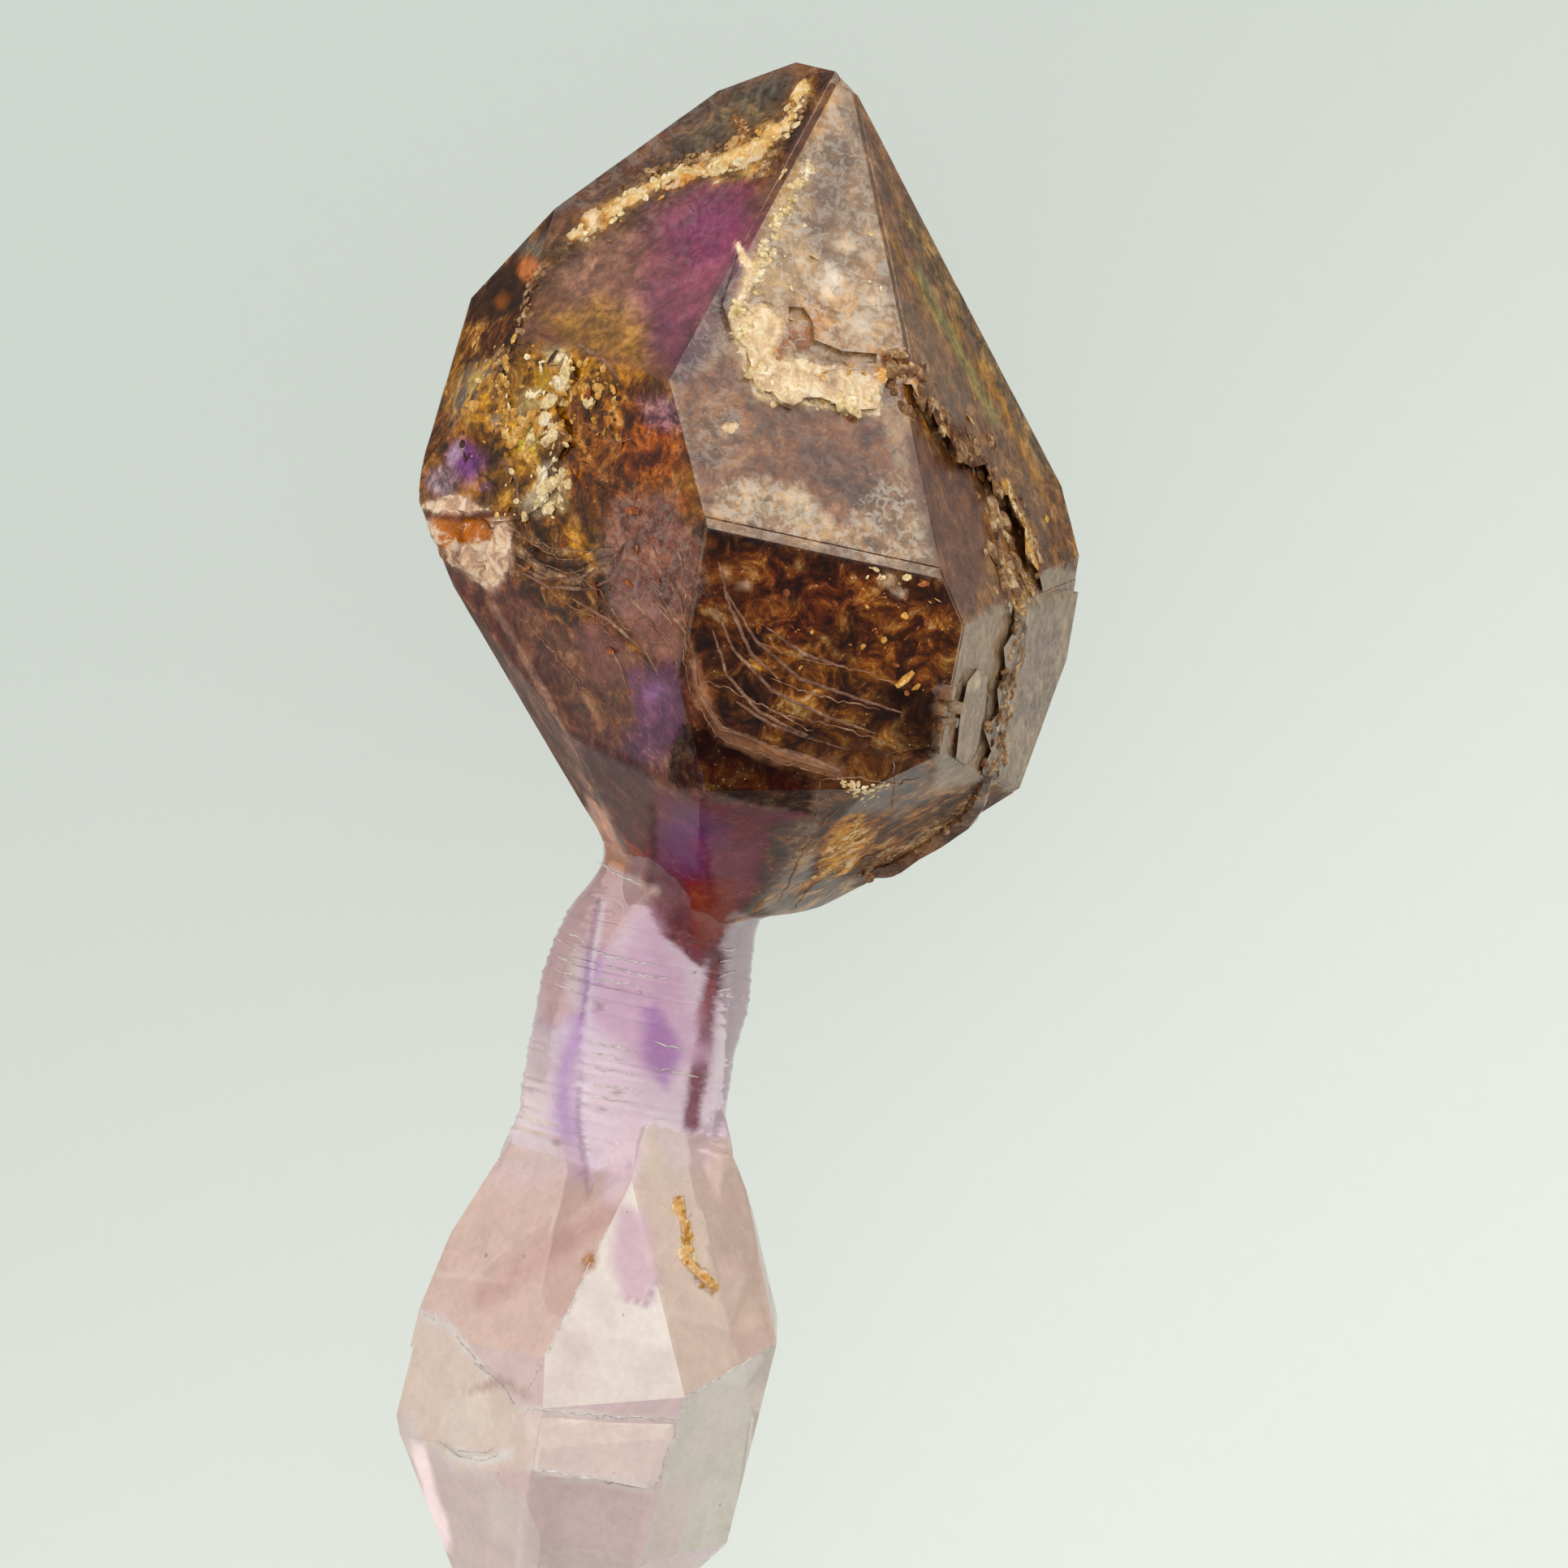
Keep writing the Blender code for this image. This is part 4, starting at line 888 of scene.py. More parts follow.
class Finish:
    """A material under construction: its nodes are added one call at a time."""

    def __init__(self, name):
        self.material = bpy.data.materials.new(name)
        self.material.use_nodes = True
        self.tree = self.material.node_tree
        self.surface = self.tree.nodes["Principled BSDF"]
        self.output = self.tree.nodes["Material Output"]
        self.place = self.add("ShaderNodeTexCoord").outputs["Object"]

    def add(self, kind, **settings):
        node = self.tree.nodes.new(kind)
        for key, value in settings.items():
            setattr(node, key, value)
        return node

    def feed(self, socket, source):
        if isinstance(source, bpy.types.NodeSocket):
            self.tree.links.new(source, socket)
        elif isinstance(source, (tuple, list)) and len(source) == 3 and socket.type == "RGBA":
            socket.default_value = (*source, 1.0)
        else:
            socket.default_value = source

    def layer(self, name, colour=False):
        node = self.add("ShaderNodeAttribute", attribute_name=name)
        return node.outputs["Color" if colour else "Fac"]

    def noise(self, size_mm, detail, rough=0.55, twist=0.0):
        node = self.add("ShaderNodeTexNoise")
        self.feed(node.inputs["Vector"], self.place)
        node.inputs["Scale"].default_value = 1000.0 / size_mm
        node.inputs["Detail"].default_value = detail
        node.inputs["Roughness"].default_value = rough
        node.inputs["Distortion"].default_value = twist
        return node.outputs["Fac"]

    def cells(self, size_mm):
        """The distance to the middle of the nearest of many small cells."""
        node = self.add("ShaderNodeTexVoronoi")
        self.feed(node.inputs["Vector"], self.place)
        node.inputs["Scale"].default_value = 1000.0 / size_mm
        return node.outputs["Distance"]

    def ramp(self, value, low, high, to_low=0.0, to_high=1.0):
        node = self.add("ShaderNodeMapRange", interpolation_type="SMOOTHSTEP")
        self.feed(node.inputs["Value"], value)
        for key, number in (("From Min", low), ("From Max", high), ("To Min", to_low),
                            ("To Max", to_high)):
            node.inputs[key].default_value = number
        return node.outputs["Result"]

    def maths(self, operation, first, second=0.0, third=0.0):
        node = self.add("ShaderNodeMath", operation=operation)
        for socket, source in zip(node.inputs, (first, second, third)):
            self.feed(socket, source)
        return node.outputs[0]

    def mix(self, share, first, second, blend="MIX"):
        node = self.add("ShaderNodeMix", data_type="RGBA", blend_type=blend)
        self.feed(node.inputs["Factor"], share)
        self.feed(node.inputs[6], first)
        self.feed(node.inputs[7], second)
        return node.outputs[2]

    def swatches(self, value, stops):
        node = self.add("ShaderNodeValToRGB")
        node.color_ramp.interpolation = "EASE"
        while len(node.color_ramp.elements) < len(stops):
            node.color_ramp.elements.new(0.5)
        for element, (at, colour) in zip(node.color_ramp.elements, stops):
            element.position = at
            element.color = (*linear(colour), 1.0)
        self.feed(node.inputs["Fac"], value)
        return node.outputs["Color"]

    def bumps(self, height, strength, distance_mm):
        node = self.add("ShaderNodeBump")
        self.feed(node.inputs["Strength"], strength)
        node.inputs["Distance"].default_value = distance_mm * MM
        self.feed(node.inputs["Height"], height)
        return node.outputs["Normal"]


QUARTZ_IOR = 1.544
ABSORBED = (0.88, 0.74, 0.88, 1.0)
ABSORPTION_DENSITY = 22.0
CLOT_STOPS = (
    (0.34, (34, 18, 12)), (0.43, (74, 42, 24)), (0.50, (122, 74, 34)), (0.56, (168, 108, 42)),
    (0.62, (206, 160, 84)), (0.70, (238, 220, 170)),
)
CONTRAST_STOPS = (
    (0.38, (110, 96, 88)), (0.47, (176, 168, 160)), (0.54, (222, 220, 214)),
    (0.64, (255, 252, 244)),
)
CLAY_STOPS = (
    (0.34, (112, 66, 30)), (0.44, (190, 134, 70)), (0.52, (220, 190, 136)),
    (0.62, (244, 232, 206)),
)


def crystal_finish(name, gloss):
    """Quartz that is clear where the layers say so, with flakes, frost and crusts."""
    f = Finish(name)
    tint = f.layer("tint", colour=True)
    clear = f.layer("clear")
    flake = f.layer("flake")
    frost = f.layer("frost")
    crust = f.layer("crust")

    # Uneven body colour: broad clouds, then a finer grain.
    clouds = f.noise(2.2, 2.0, 0.6, 0.5)
    grain = f.noise(0.36, 2.0, 0.62, 0.4)
    shade = f.mix(f.ramp(clouds, 0.32, 0.68), (0.62, 0.55, 0.56), (1.30, 1.28, 1.22))
    colour = f.mix(f.maths("MULTIPLY_ADD", flake, 1.0, 0.10), tint, shade, "MULTIPLY")
    shade = f.mix(f.ramp(grain, 0.32, 0.68), (0.55, 0.50, 0.47), (1.35, 1.35, 1.32))
    colour = f.mix(f.maths("MULTIPLY_ADD", flake, 1.2, 0.06), colour, shade, "MULTIPLY")

    richer = f.add("ShaderNodeHueSaturation")
    richer.inputs["Saturation"].default_value = 1.25
    f.feed(richer.inputs["Color"], colour)
    colour = richer.outputs["Color"]

    # Clay and rust in wisps and clots, seen just under the faces.
    wisps = f.noise(1.1, 4.5, 0.74, 0.55)
    clots = f.swatches(wisps, CLOT_STOPS)
    where = f.maths("MULTIPLY", flake, f.ramp(clouds, 0.30, 0.58, 0.08, 0.36))
    colour = f.mix(where, colour, clots)
    contrast = f.swatches(wisps, CONTRAST_STOPS)
    contrast = f.mix(1.0, contrast, (1.75, 1.75, 1.75), "MULTIPLY")
    colour = f.mix(f.maths("MULTIPLY", flake, 1.3), colour, contrast, "MULTIPLY")

    # Fine bright specks, which are painted glints, and dark specks.
    speck = f.cells(0.26)
    painted_glints = f.maths("MULTIPLY", f.ramp(speck, 0.20, 0.08), f.ramp(wisps, 0.50, 0.60))
    painted_glints = f.maths("MULTIPLY", painted_glints, f.maths("MULTIPLY_ADD", flake, 0.7, 0.06))
    colour = f.mix(painted_glints, colour, (0.86, 0.74, 0.54))
    pits = f.maths("MULTIPLY", f.ramp(f.cells(1.3), 0.10, 0.05),
                   f.ramp(grain, 0.50, 0.56))
    colour = f.mix(f.maths("MULTIPLY", pits, 0.6), colour, (0.20, 0.11, 0.08))

    # Frost: a pale broken grain on the etched faces.
    rime = f.ramp(f.noise(0.40, 3.0, 0.74, 0.7), 0.46, 0.59)
    rime = f.maths("MULTIPLY", rime, frost)
    colour = f.mix(f.maths("MULTIPLY", rime, 0.62), colour, (0.90, 0.82, 0.70))

    # Crust: opaque cream and golden clay with broken edges.
    broken = f.noise(0.55, 3.0, 0.70, 0.6)
    edge = f.maths("MULTIPLY_ADD", broken, 1.1, -0.55)
    solid = f.ramp(f.maths("ADD", crust, edge), 0.36, 0.50)
    clay = f.mix(0.5, f.swatches(broken, CLAY_STOPS), tint)
    colour = f.mix(f.maths("MULTIPLY", solid, 0.85), colour, clay)

    # Crusts and rust close the crystal and make it rougher.
    open_share = f.maths("SUBTRACT", 1.0, f.maths("MULTIPLY", solid, 0.95))
    through = f.maths("MULTIPLY", clear, open_share)
    through = f.maths("MULTIPLY", through,
                      f.maths("SUBTRACT", 1.0, f.maths("MULTIPLY", where, 0.35)))
    rough = f.maths("MULTIPLY_ADD", frost, 0.16, 0.025)
    rough = f.maths("ADD", rough, f.ramp(clear, 0.62, 0.0, 0.0, 0.5))
    rough = f.maths("ADD", rough, f.maths("MULTIPLY", rime, 0.25))
    rough = f.maths("ADD", rough, f.maths("MULTIPLY", solid, 0.55))
    rough = f.maths("ADD", rough, f.maths("MULTIPLY", where, 0.12))

    relief = f.maths("MULTIPLY", wisps, f.maths("ADD", flake, 0.06))
    lumps = f.maths("MULTIPLY_ADD", solid, 2.0, f.maths("MULTIPLY", frost, 0.6))
    relief = f.maths("MULTIPLY_ADD", broken, lumps, relief)
    normal = f.bumps(relief, 0.6, 0.07)

    surface = f.surface
    f.feed(surface.inputs["Base Color"], colour)
    f.feed(surface.inputs["Transmission Weight"], through)
    f.feed(surface.inputs["Roughness"], rough)
    f.feed(surface.inputs["Normal"], normal)
    surface.inputs["IOR"].default_value = QUARTZ_IOR
    surface.inputs["Specular IOR Level"].default_value = gloss
    absorb = f.add("ShaderNodeVolumeAbsorption")
    absorb.inputs["Color"].default_value = ABSORBED
    absorb.inputs["Density"].default_value = ABSORPTION_DENSITY
    f.tree.links.new(absorb.outputs["Volume"], f.output.inputs["Volume"])
    return f.material


def clay_finish(name, stops, size_mm, clear=0.0):
    """Marbled clay and rust locked inside the crystal."""
    f = Finish(name)
    wisps = f.noise(size_mm, 6.0, 0.78, 0.5)
    colour = f.swatches(wisps, stops)
    grain = f.noise(size_mm * 0.2, 4.0, 0.6)
    shade = f.mix(f.ramp(grain, 0.3, 0.7), (0.6, 0.55, 0.5), (1.3, 1.3, 1.3))
    colour = f.mix(0.8, colour, shade, "MULTIPLY")
    surface = f.surface
    f.feed(surface.inputs["Base Color"], colour)
    f.feed(surface.inputs["Roughness"], f.ramp(wisps, 0.3, 0.7, 0.7, 0.3))
    f.feed(surface.inputs["Normal"], f.bumps(wisps, 0.7, 0.12))
    surface.inputs["IOR"].default_value = 1.3
    surface.inputs["Transmission Weight"].default_value = clear
    return f.material


def floor_finish():
    """A pale grey-green table that glows a little, like paper on a lit glass."""
    f = Finish("pale_table")
    across = f.add("ShaderNodeSeparateXYZ")
    f.feed(across.inputs["Vector"], f.place)
    along = f.maths("ADD", across.outputs["X"], f.maths("MULTIPLY", across.outputs["Y"], -1.0))
    share = f.ramp(along, -0.05, 0.06)
    colour = f.mix(share, (0.555, 0.605, 0.56), (0.78, 0.825, 0.755))
    fibre = f.ramp(f.noise(0.8, 3.0), 0.3, 0.7, 0.0, 0.02)
    colour = f.mix(fibre, colour, (0.5, 0.5, 0.5))
    surface = f.surface
    f.feed(surface.inputs["Base Color"], (0.11, 0.115, 0.108))
    surface.inputs["Roughness"].default_value = 0.95
    surface.inputs["Specular IOR Level"].default_value = 0.0
    f.feed(surface.inputs["Emission Color"], colour)
    surface.inputs["Emission Strength"].default_value = 0.91
    f.material.cycles.emission_sampling = "NONE"
    return f.material


# Inclusions.

CLOUD_DIVISIONS = 6

# Of the neck core, from its block down: across and down in the picture, half width there in
# its pixels, height in millimetres, and thickness, which counts from the second ring on.
CORE_RINGS = (
    (925, 905, 70, 11.0, 2.0), (925, 950, 84, 11.2, 2.6), (912, 1000, 84, 10.8, 2.8),
    (880, 1040, 66, 10.4, 2.8), (872, 1090, 56, 10.2, 2.6), (868, 1140, 40, 10.0, 2.2),
    (868, 1185, 22, 9.8, 1.5), (868, 1230, 15, 9.4, 1.1), (864, 1290, 12, 9.0, 0.9),
    (856, 1350, 9, 8.4, 0.7), (850, 1392, 4, 8.0, 0.3),
)

RUST_STOPS = ((0.34, (30, 16, 12)), (0.44, (84, 44, 20)), (0.51, (140, 78, 26)),
              (0.57, (186, 118, 40)), (0.66, (226, 186, 104)))
GOLD_STOPS = ((0.34, (60, 36, 20)), (0.43, (140, 92, 36)), (0.50, (196, 150, 70)),
              (0.58, (232, 206, 140)), (0.66, (246, 238, 212)))
PLUM_STOPS = ((0.34, (78, 40, 46)), (0.45, (126, 70, 76)), (0.55, (160, 100, 96)),
              (0.68, (196, 146, 136)))

# Each cloud: its name, place, half size, roughness and cover in millimetres, seed and clay.
CLOUDS = (
    ("front_cloud", (2.4, 12.0, 18.4), (6.2, 5.4, 5.4), 1.2, 0.9, 21.0, "rust"),
    ("left_cloud", (-6.6, 16.4, 15.4), (3.6, 5.4, 4.6), 1.3, 0.7, 31.0, "gold"),
    ("middle_cloud", (-1.6, 15.6, 18.2), (3.2, 3.4, 3.4), 1.0, 0.9, 41.0, "rust"),
    ("tip_cloud", (-2.4, 26.4, 15.2), (3.4, 1.6, 1.8), 0.7, 0.6, 51.0, "rust"),
    ("right_cloud", (9.2, 17.6, 15.6), (2.0, 5.8, 3.0), 0.8, 0.7, 61.0, "gold"),
    ("back_cloud", (0.5, 13.0, 6.0), (7.5, 7.0, 3.4), 1.4, 0.9, 71.0, "rust"),
)


def keep_inside(spots_mm, faces, centre, cover_mm):
    """Presses points back behind the crystal's faces, so that they stay under its skin."""
    away = np.array([-TIP_SHIFT[0], -TIP_SHIFT[1], MIDDLE_HEIGHT])
    u = spots_mm - away
    for _ in range(6):
        for turn, slope, distance in faces.values():
            direction = np.array(face_direction(turn, slope))
            over = (u - np.array(centre)) @ direction - (distance - cover_mm)
            u = u - np.maximum(over, 0.0)[:, None] * direction
    return u + away


def grown_cloud(name, place_mm, size_mm, rough_mm, cover_mm, seed):
    """A lumpy body of clay inside the head, flattened where it grew against a face."""
    pick_nothing()
    bpy.ops.mesh.primitive_ico_sphere_add(
        subdivisions=CLOUD_DIVISIONS, radius=MM, location=[v * MM for v in place_mm]
    )
    cloud = bpy.context.active_object
    cloud.name = name
    bpy.ops.transform.resize(value=size_mm)
    bpy.ops.object.transform_apply(location=True, rotation=True, scale=True)
    spots = read_all(cloud.data.vertices, "co", 3) / MM
    outward = spots - np.array(place_mm)
    outward /= np.linalg.norm(outward, axis=1)[:, None]
    waves = layered_grain(spots, 4.0, seed, 5)
    spots = spots + outward * (rough_mm * waves)[:, None]
    spots = keep_inside(spots, HEAD_FACES, HEAD_CENTRE, cover_mm)
    spots += outward * (0.12 * np.minimum(layered_grain(spots, 0.8, seed + 9, 2), 0.5))[:, None]
    cloud.data.vertices.foreach_set("co", (spots * MM).ravel())
    cloud.data.update()
    bpy.ops.object.shade_smooth()
    return cloud


def neck_core():
    """The red-brown core of the neck, from its dark block down to its thin tail."""
    across, down, width, height, _ = CORE_RINGS[0]
    x, y = from_picture(across, down, height)
    pick_nothing()
    bpy.ops.mesh.primitive_circle_add(
        vertices=14, radius=width / PICTURE_SCALE * MM, fill_type="NGON",
        location=(x * MM, y * MM, height * MM), rotation=(radians(90), 0, 0),
    )
    core = bpy.context.active_object
    core.name = "neck_core"
    bpy.ops.object.transform_apply(location=True, rotation=True, scale=True)
    bpy.ops.object.mode_set(mode="EDIT")
    for before, after in zip(CORE_RINGS, CORE_RINGS[1:]):
        x0, y0 = from_picture(*before[:2], before[3])
        x1, y1 = from_picture(*after[:2], after[3])
        step = ((x1 - x0) * MM, (y1 - y0) * MM, (after[3] - before[3]) * MM)
        bpy.ops.mesh.extrude_region_move(TRANSFORM_OT_translate={"value": step})
        wide = after[2] / before[2]
        deep = wide
        if before is not CORE_RINGS[0]:
            deep = (after[4] / after[2]) / (before[4] / before[2]) * wide
        bpy.ops.transform.resize(value=(wide, 1.0, deep))
    bpy.ops.mesh.select_all(action="SELECT")
    bpy.ops.mesh.normals_make_consistent(inside=False)
    bpy.ops.mesh.subdivide(number_cuts=2)
    bpy.ops.object.mode_set(mode="OBJECT")
    spots = read_all(core.data.vertices, "co", 3) / MM
    spots[:, 2] += 0.16 * layered_grain(spots, 1.2, 4.0, 2)
    spots[:, 0] += 0.20 * layered_grain(spots, 1.4, 8.0, 2)
    core.data.vertices.foreach_set("co", (spots * MM).ravel())
    core.data.update()
    bpy.ops.object.shade_smooth()
    return core


def add_inclusions():
    clays = {
        "rust": clay_finish("rust_clay", RUST_STOPS, 1.6),
        "gold": clay_finish("gold_clay", GOLD_STOPS, 1.5),
    }
    plum_core = clay_finish("plum_core", PLUM_STOPS, 1.4, 0.5)
    for *form, clay in CLOUDS:
        cloud = grown_cloud(*form)
        cloud.data.materials.append(clays[clay])
        finish_piece(cloud)
    core = neck_core()
    core.data.materials.append(plum_core)
    finish_piece(core)


def finish_piece(piece):
    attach(piece, "root")


# Growth lines, pale lines with painted highlights, flecks and crumbs, at places in the picture.

HEAD_LINES = (
    ((628, 664), (640, 684), (668, 706), (704, 716), (738, 704), (754, 690)),
    ((640, 656), (676, 674), (720, 680), (750, 674)),
    ((636, 672), (662, 694), (700, 706), (730, 698)),
    ((590, 640), (612, 652), (640, 655)),
    ((846, 786), (850, 820), (862, 850), (888, 896), (960, 924), (1032, 950)),
    ((840, 792), (846, 836), (858, 866), (884, 908), (956, 938), (1028, 958)),
    ((740, 770), (790, 760), (830, 790), (850, 800)),
    ((930, 790), (990, 812), (1060, 826), (1120, 850)),
    ((950, 836), (1010, 858), (1090, 876)),
    ((948, 876), (1030, 896), (1098, 916)),
    ((655, 455), (690, 450), (715, 470), (700, 500)),
    ((640, 500), (670, 520), (700, 540), (695, 570)),
    ((720, 520), (750, 545), (790, 540)),
    ((560, 500), (585, 505), (620, 520)),
    ((700, 700), (740, 730), (770, 775), (800, 790), (846, 800)),
    ((760, 690), (790, 715), (820, 760), (848, 790)),
    ((780, 690), (812, 728), (836, 770)),
    ((650, 700), (690, 740), (730, 760), (766, 800), (806, 830)),
    ((830, 640), (838, 690), (846, 740), (846, 786)),
    ((640, 760), (680, 800), (720, 850), (760, 880)),
    ((866, 840), (900, 850), (960, 880), (1010, 905)),
    ((620, 640), (650, 668), (690, 690), (720, 690)),
    ((960, 1112), (984, 1060), (1010, 1016), (1040, 990)),
    ((980, 1118), (1006, 1084), (1060, 1060), (1130, 1030)),
    ((1012, 960), (1060, 958), (1100, 966), (1140, 956)),
    ((1010, 962), (1008, 1000), (1000, 1030)),
    ((1100, 930), (1102, 966), (1098, 1004)),
)
# Pale raised lines on the stem's striae, the foot's growth band and edges, and the neck's crease;
# their near-white colour is mostly a painted highlight.
STRIAE_AND_HIGHLIGHT_LINES = (
    ((736, 1062), (770, 1082), (804, 1096)),
    ((640, 1735), (740, 1744), (842, 1750)),
    ((655, 1810), (720, 1820), (800, 1836)),
    ((512, 1614), (552, 1636), (586, 1676), (600, 1694)),
    ((556, 1790), (590, 1800), (624, 1792)),
    ((560, 1786), (596, 1790), (620, 1780)),
    ((584, 1680), (612, 1700), (640, 1735)),
    ((694, 1146), (710, 1155), (728, 1168)),
    ((690, 1161), (708, 1170), (726, 1182)),
    ((688, 1178), (704, 1186), (722, 1196)),
    ((684, 1195), (702, 1202), (720, 1208)),
    ((682, 1212), (700, 1217), (716, 1222)),
    ((736, 1176), (780, 1184), (824, 1192)),
    ((734, 1190), (770, 1198), (830, 1206)),
    ((732, 1206), (760, 1210), (800, 1218)),
    ((730, 1284), (760, 1290), (792, 1298)),
    ((728, 1296), (760, 1304), (780, 1306)),
    ((728, 1316), (760, 1320), (790, 1326)),
    ((726, 1334), (756, 1340), (800, 1346)),
    ((728, 1352), (760, 1356), (786, 1360)),
    ((804, 1284), (830, 1290), (856, 1296)),
    ((806, 1316), (834, 1322), (866, 1330)),
    ((890, 1172), (904, 1169), (916, 1165)),
    ((888, 1186), (902, 1183), (914, 1179)),
    ((886, 1204), (900, 1200), (912, 1196)),
    ((884, 1222), (898, 1218), (910, 1213)),
    ((750, 1512), (720, 1574), (680, 1656), (640, 1735)),
    ((846, 1722), (900, 1690), (956, 1656)),
    ((846, 1722), (826, 1780), (806, 1836)),
)
VEIL_LINES = (
    ((626, 690), (668, 713), (714, 714), (750, 694), (792, 646)),
    ((632, 700), (676, 724), (728, 726), (768, 706)),
    ((792, 730), (826, 756), (845, 780), (846, 822)),
    ((742, 706), (786, 748), (822, 790), (838, 830)),
    ((700, 735), (752, 766), (798, 806), (820, 850)),
    ((800, 660), (816, 700), (838, 742), (846, 780)),
    ((880, 742), (902, 798), (950, 850), (1016, 882), (1092, 908)),
    ((892, 724), (930, 788), (985, 836), (1060, 862), (1130, 884)),
    ((876, 772), (896, 832), (936, 878), (1000, 910), (1060, 928)),
    ((884, 690), (900, 750), (926, 806), (970, 846)),
    ((900, 860), (950, 893), (1020, 918)),
    ((940, 770), (990, 806), (1050, 826)),
    ((640, 470), (668, 500), (690, 540), (684, 580)),
    ((612, 560), (636, 590), (640, 630)),
    ((704, 420), (740, 440), (770, 476)),
    ((740, 780), (764, 820), (778, 866)),
)
# Each set of lines: its name, its lines, their radius, lift and shake, then its finish.
# Radius and lift are in millimetres, and the shake is in the picture's pixels.
LINE_SETS = (
    ("growth_lines", HEAD_LINES, 0.032, 0.008, 1.3, "healed_line",
     ((0.35, (110, 74, 54)), (0.5, (160, 116, 88)), (0.65, (206, 172, 142))), 0.8, 0.3),
    ("veil_lines", VEIL_LINES, 0.1, -0.05, 0.5, "veil_line",
     ((0.35, (96, 62, 46)), (0.5, (140, 98, 76)), (0.65, (190, 154, 126))), 0.9, 0.3),
    ("striae_and_highlight_lines", STRIAE_AND_HIGHLIGHT_LINES, 0.04, 0.008, 1.3, "striae_highlight_line",
     ((0.35, (226, 214, 214)), (0.5, (244, 240, 238)), (0.65, (252, 250, 248))), 0.8, 0.4),
)
SMALL_STOPS = {
    "cream": ((0.35, (186, 154, 96)), (0.5, (228, 204, 152)), (0.65, (248, 238, 214))),
    "gold": ((0.35, (140, 88, 34)), (0.5, (200, 146, 62)), (0.65, (240, 208, 136))),
    "rust": ((0.35, (84, 38, 18)), (0.5, (136, 68, 28)), (0.65, (190, 116, 56))),
    "dark": ((0.35, (36, 18, 16)), (0.5, (66, 38, 32)), (0.65, (110, 72, 56))),
    "ledge": ((0.35, (58, 36, 24)), (0.45, (112, 76, 46)), (0.53, (158, 118, 76)),
              (0.62, (206, 178, 134))),
}

# Each field of flecks: their kind, how many at most, and its outline.
FLECK_FIELDS = (
    ("cream", 60, ((600, 430), (720, 430), (715, 520), (700, 640), (640, 650), (560, 560))),
    ("gold", 90, ((570, 400), (760, 430), (780, 520), (700, 640), (640, 700), (560, 560))),
    ("dark", 80, ((560, 400), (760, 430), (830, 520), (700, 640), (640, 700), (560, 560))),
    ("rust", 50, ((700, 480), (840, 500), (855, 610), (760, 640), (700, 600))),
    ("gold", 24, ((930, 740), (1165, 730), (1180, 800), (1130, 860), (960, 840))),
    ("rust", 60, ((880, 670), (1150, 715), (1160, 850), (1080, 900), (930, 860))),
    ("cream", 14, ((1060, 690), (1120, 700), (1120, 740), (1070, 740))),
    ("gold", 40, ((690, 280), (840, 190), (980, 110), (985, 150), (860, 240), (720, 320))),
    ("cream", 34, ((900, 300), (980, 180), (1060, 200), (1100, 420), (930, 420))),
    ("gold", 16, ((900, 400), (1090, 440), (1090, 520), (930, 500))),
    ("gold", 14, ((1120, 420), (1240, 520), (1300, 660), (1250, 740), (1170, 560))),
    ("rust", 16, ((580, 330), (660, 320), (650, 420), (570, 470))),
    ("rust", 30, ((600, 660), (860, 640), (880, 760), (840, 930), (640, 760))),
)


def surface_at(tree, across, down):
    """The crystal's upper surface at a place in the picture: where it is and how it faces."""
    height = 20.0
    found = None
    for _ in range(3):
        x, y = from_picture(across, down, height)
        hit, normal, _, _ = tree.ray_cast(Vector((x * MM, y * MM, 0.06)), Vector((0, 0, -1)))
        if hit is None:
            return found
        height = hit.z / MM
        found = (hit, normal)
    return found


def raised_lines(name, tree, lines, radius_mm, lift_mm, shake):
    """Fine healed cracks and growth lines that stand a little proud of the faces."""
    draft = bpy.data.curves.new(name, "CURVE")
    draft.dimensions = "3D"
    draft.bevel_depth = radius_mm * MM
    draft.bevel_resolution = 1
    draft.use_fill_caps = True
    waver = np.random.default_rng(7)
    for line in lines:
        points = []
        for (ax, ay), (bx, by) in zip(line, line[1:]):
            pieces = max(2, int(np.hypot(bx - ax, by - ay) / 7))
            for share in np.linspace(0.0, 1.0, pieces, endpoint=False):
                shift = waver.normal(0.0, shake, 2)
                found = surface_at(
                    tree, ax + (bx - ax) * share + shift[0], ay + (by - ay) * share + shift[1]
                )
                if found:
                    points.append(found[0] + found[1] * lift_mm * MM)
        if len(points) < 4:
            continue
        spline = draft.splines.new("POLY")
        spline.points.add(len(points) - 1)
        for number, (point, place) in enumerate(zip(spline.points, points)):
            point.co = (*place, 1.0)
            along = number / (len(points) - 1)
            point.radius = 0.35 + 0.65 * (4 * along * (1 - along)) ** 0.5
    made = bpy.data.objects.new(name, draft)
    bpy.context.scene.collection.objects.link(made)
    work_on(made)
    bpy.ops.object.convert(target="MESH")
    return bpy.context.active_object


def one_chip():
    """A thin six-cornered flake, one millimetre across."""
    pick_nothing()
    bpy.ops.mesh.primitive_circle_add(vertices=6, radius=0.5 * MM, fill_type="NGON")
    chip = bpy.context.active_object
    bpy.ops.object.mode_set(mode="EDIT")
    bpy.ops.mesh.select_all(action="SELECT")
    bpy.ops.mesh.extrude_region_move(TRANSFORM_OT_translate={"value": (0, 0, 0.12 * MM)})
    bpy.ops.transform.resize(value=(0.8, 0.86, 1.0))
    bpy.ops.mesh.select_all(action="SELECT")
    bpy.ops.mesh.normals_make_consistent(inside=False)
    bpy.ops.object.mode_set(mode="OBJECT")
    return chip


def spin(chance):
    return Matrix.Rotation(chance.random() * NEARLY_FULL_TURN, 3, "Z").to_quaternion()


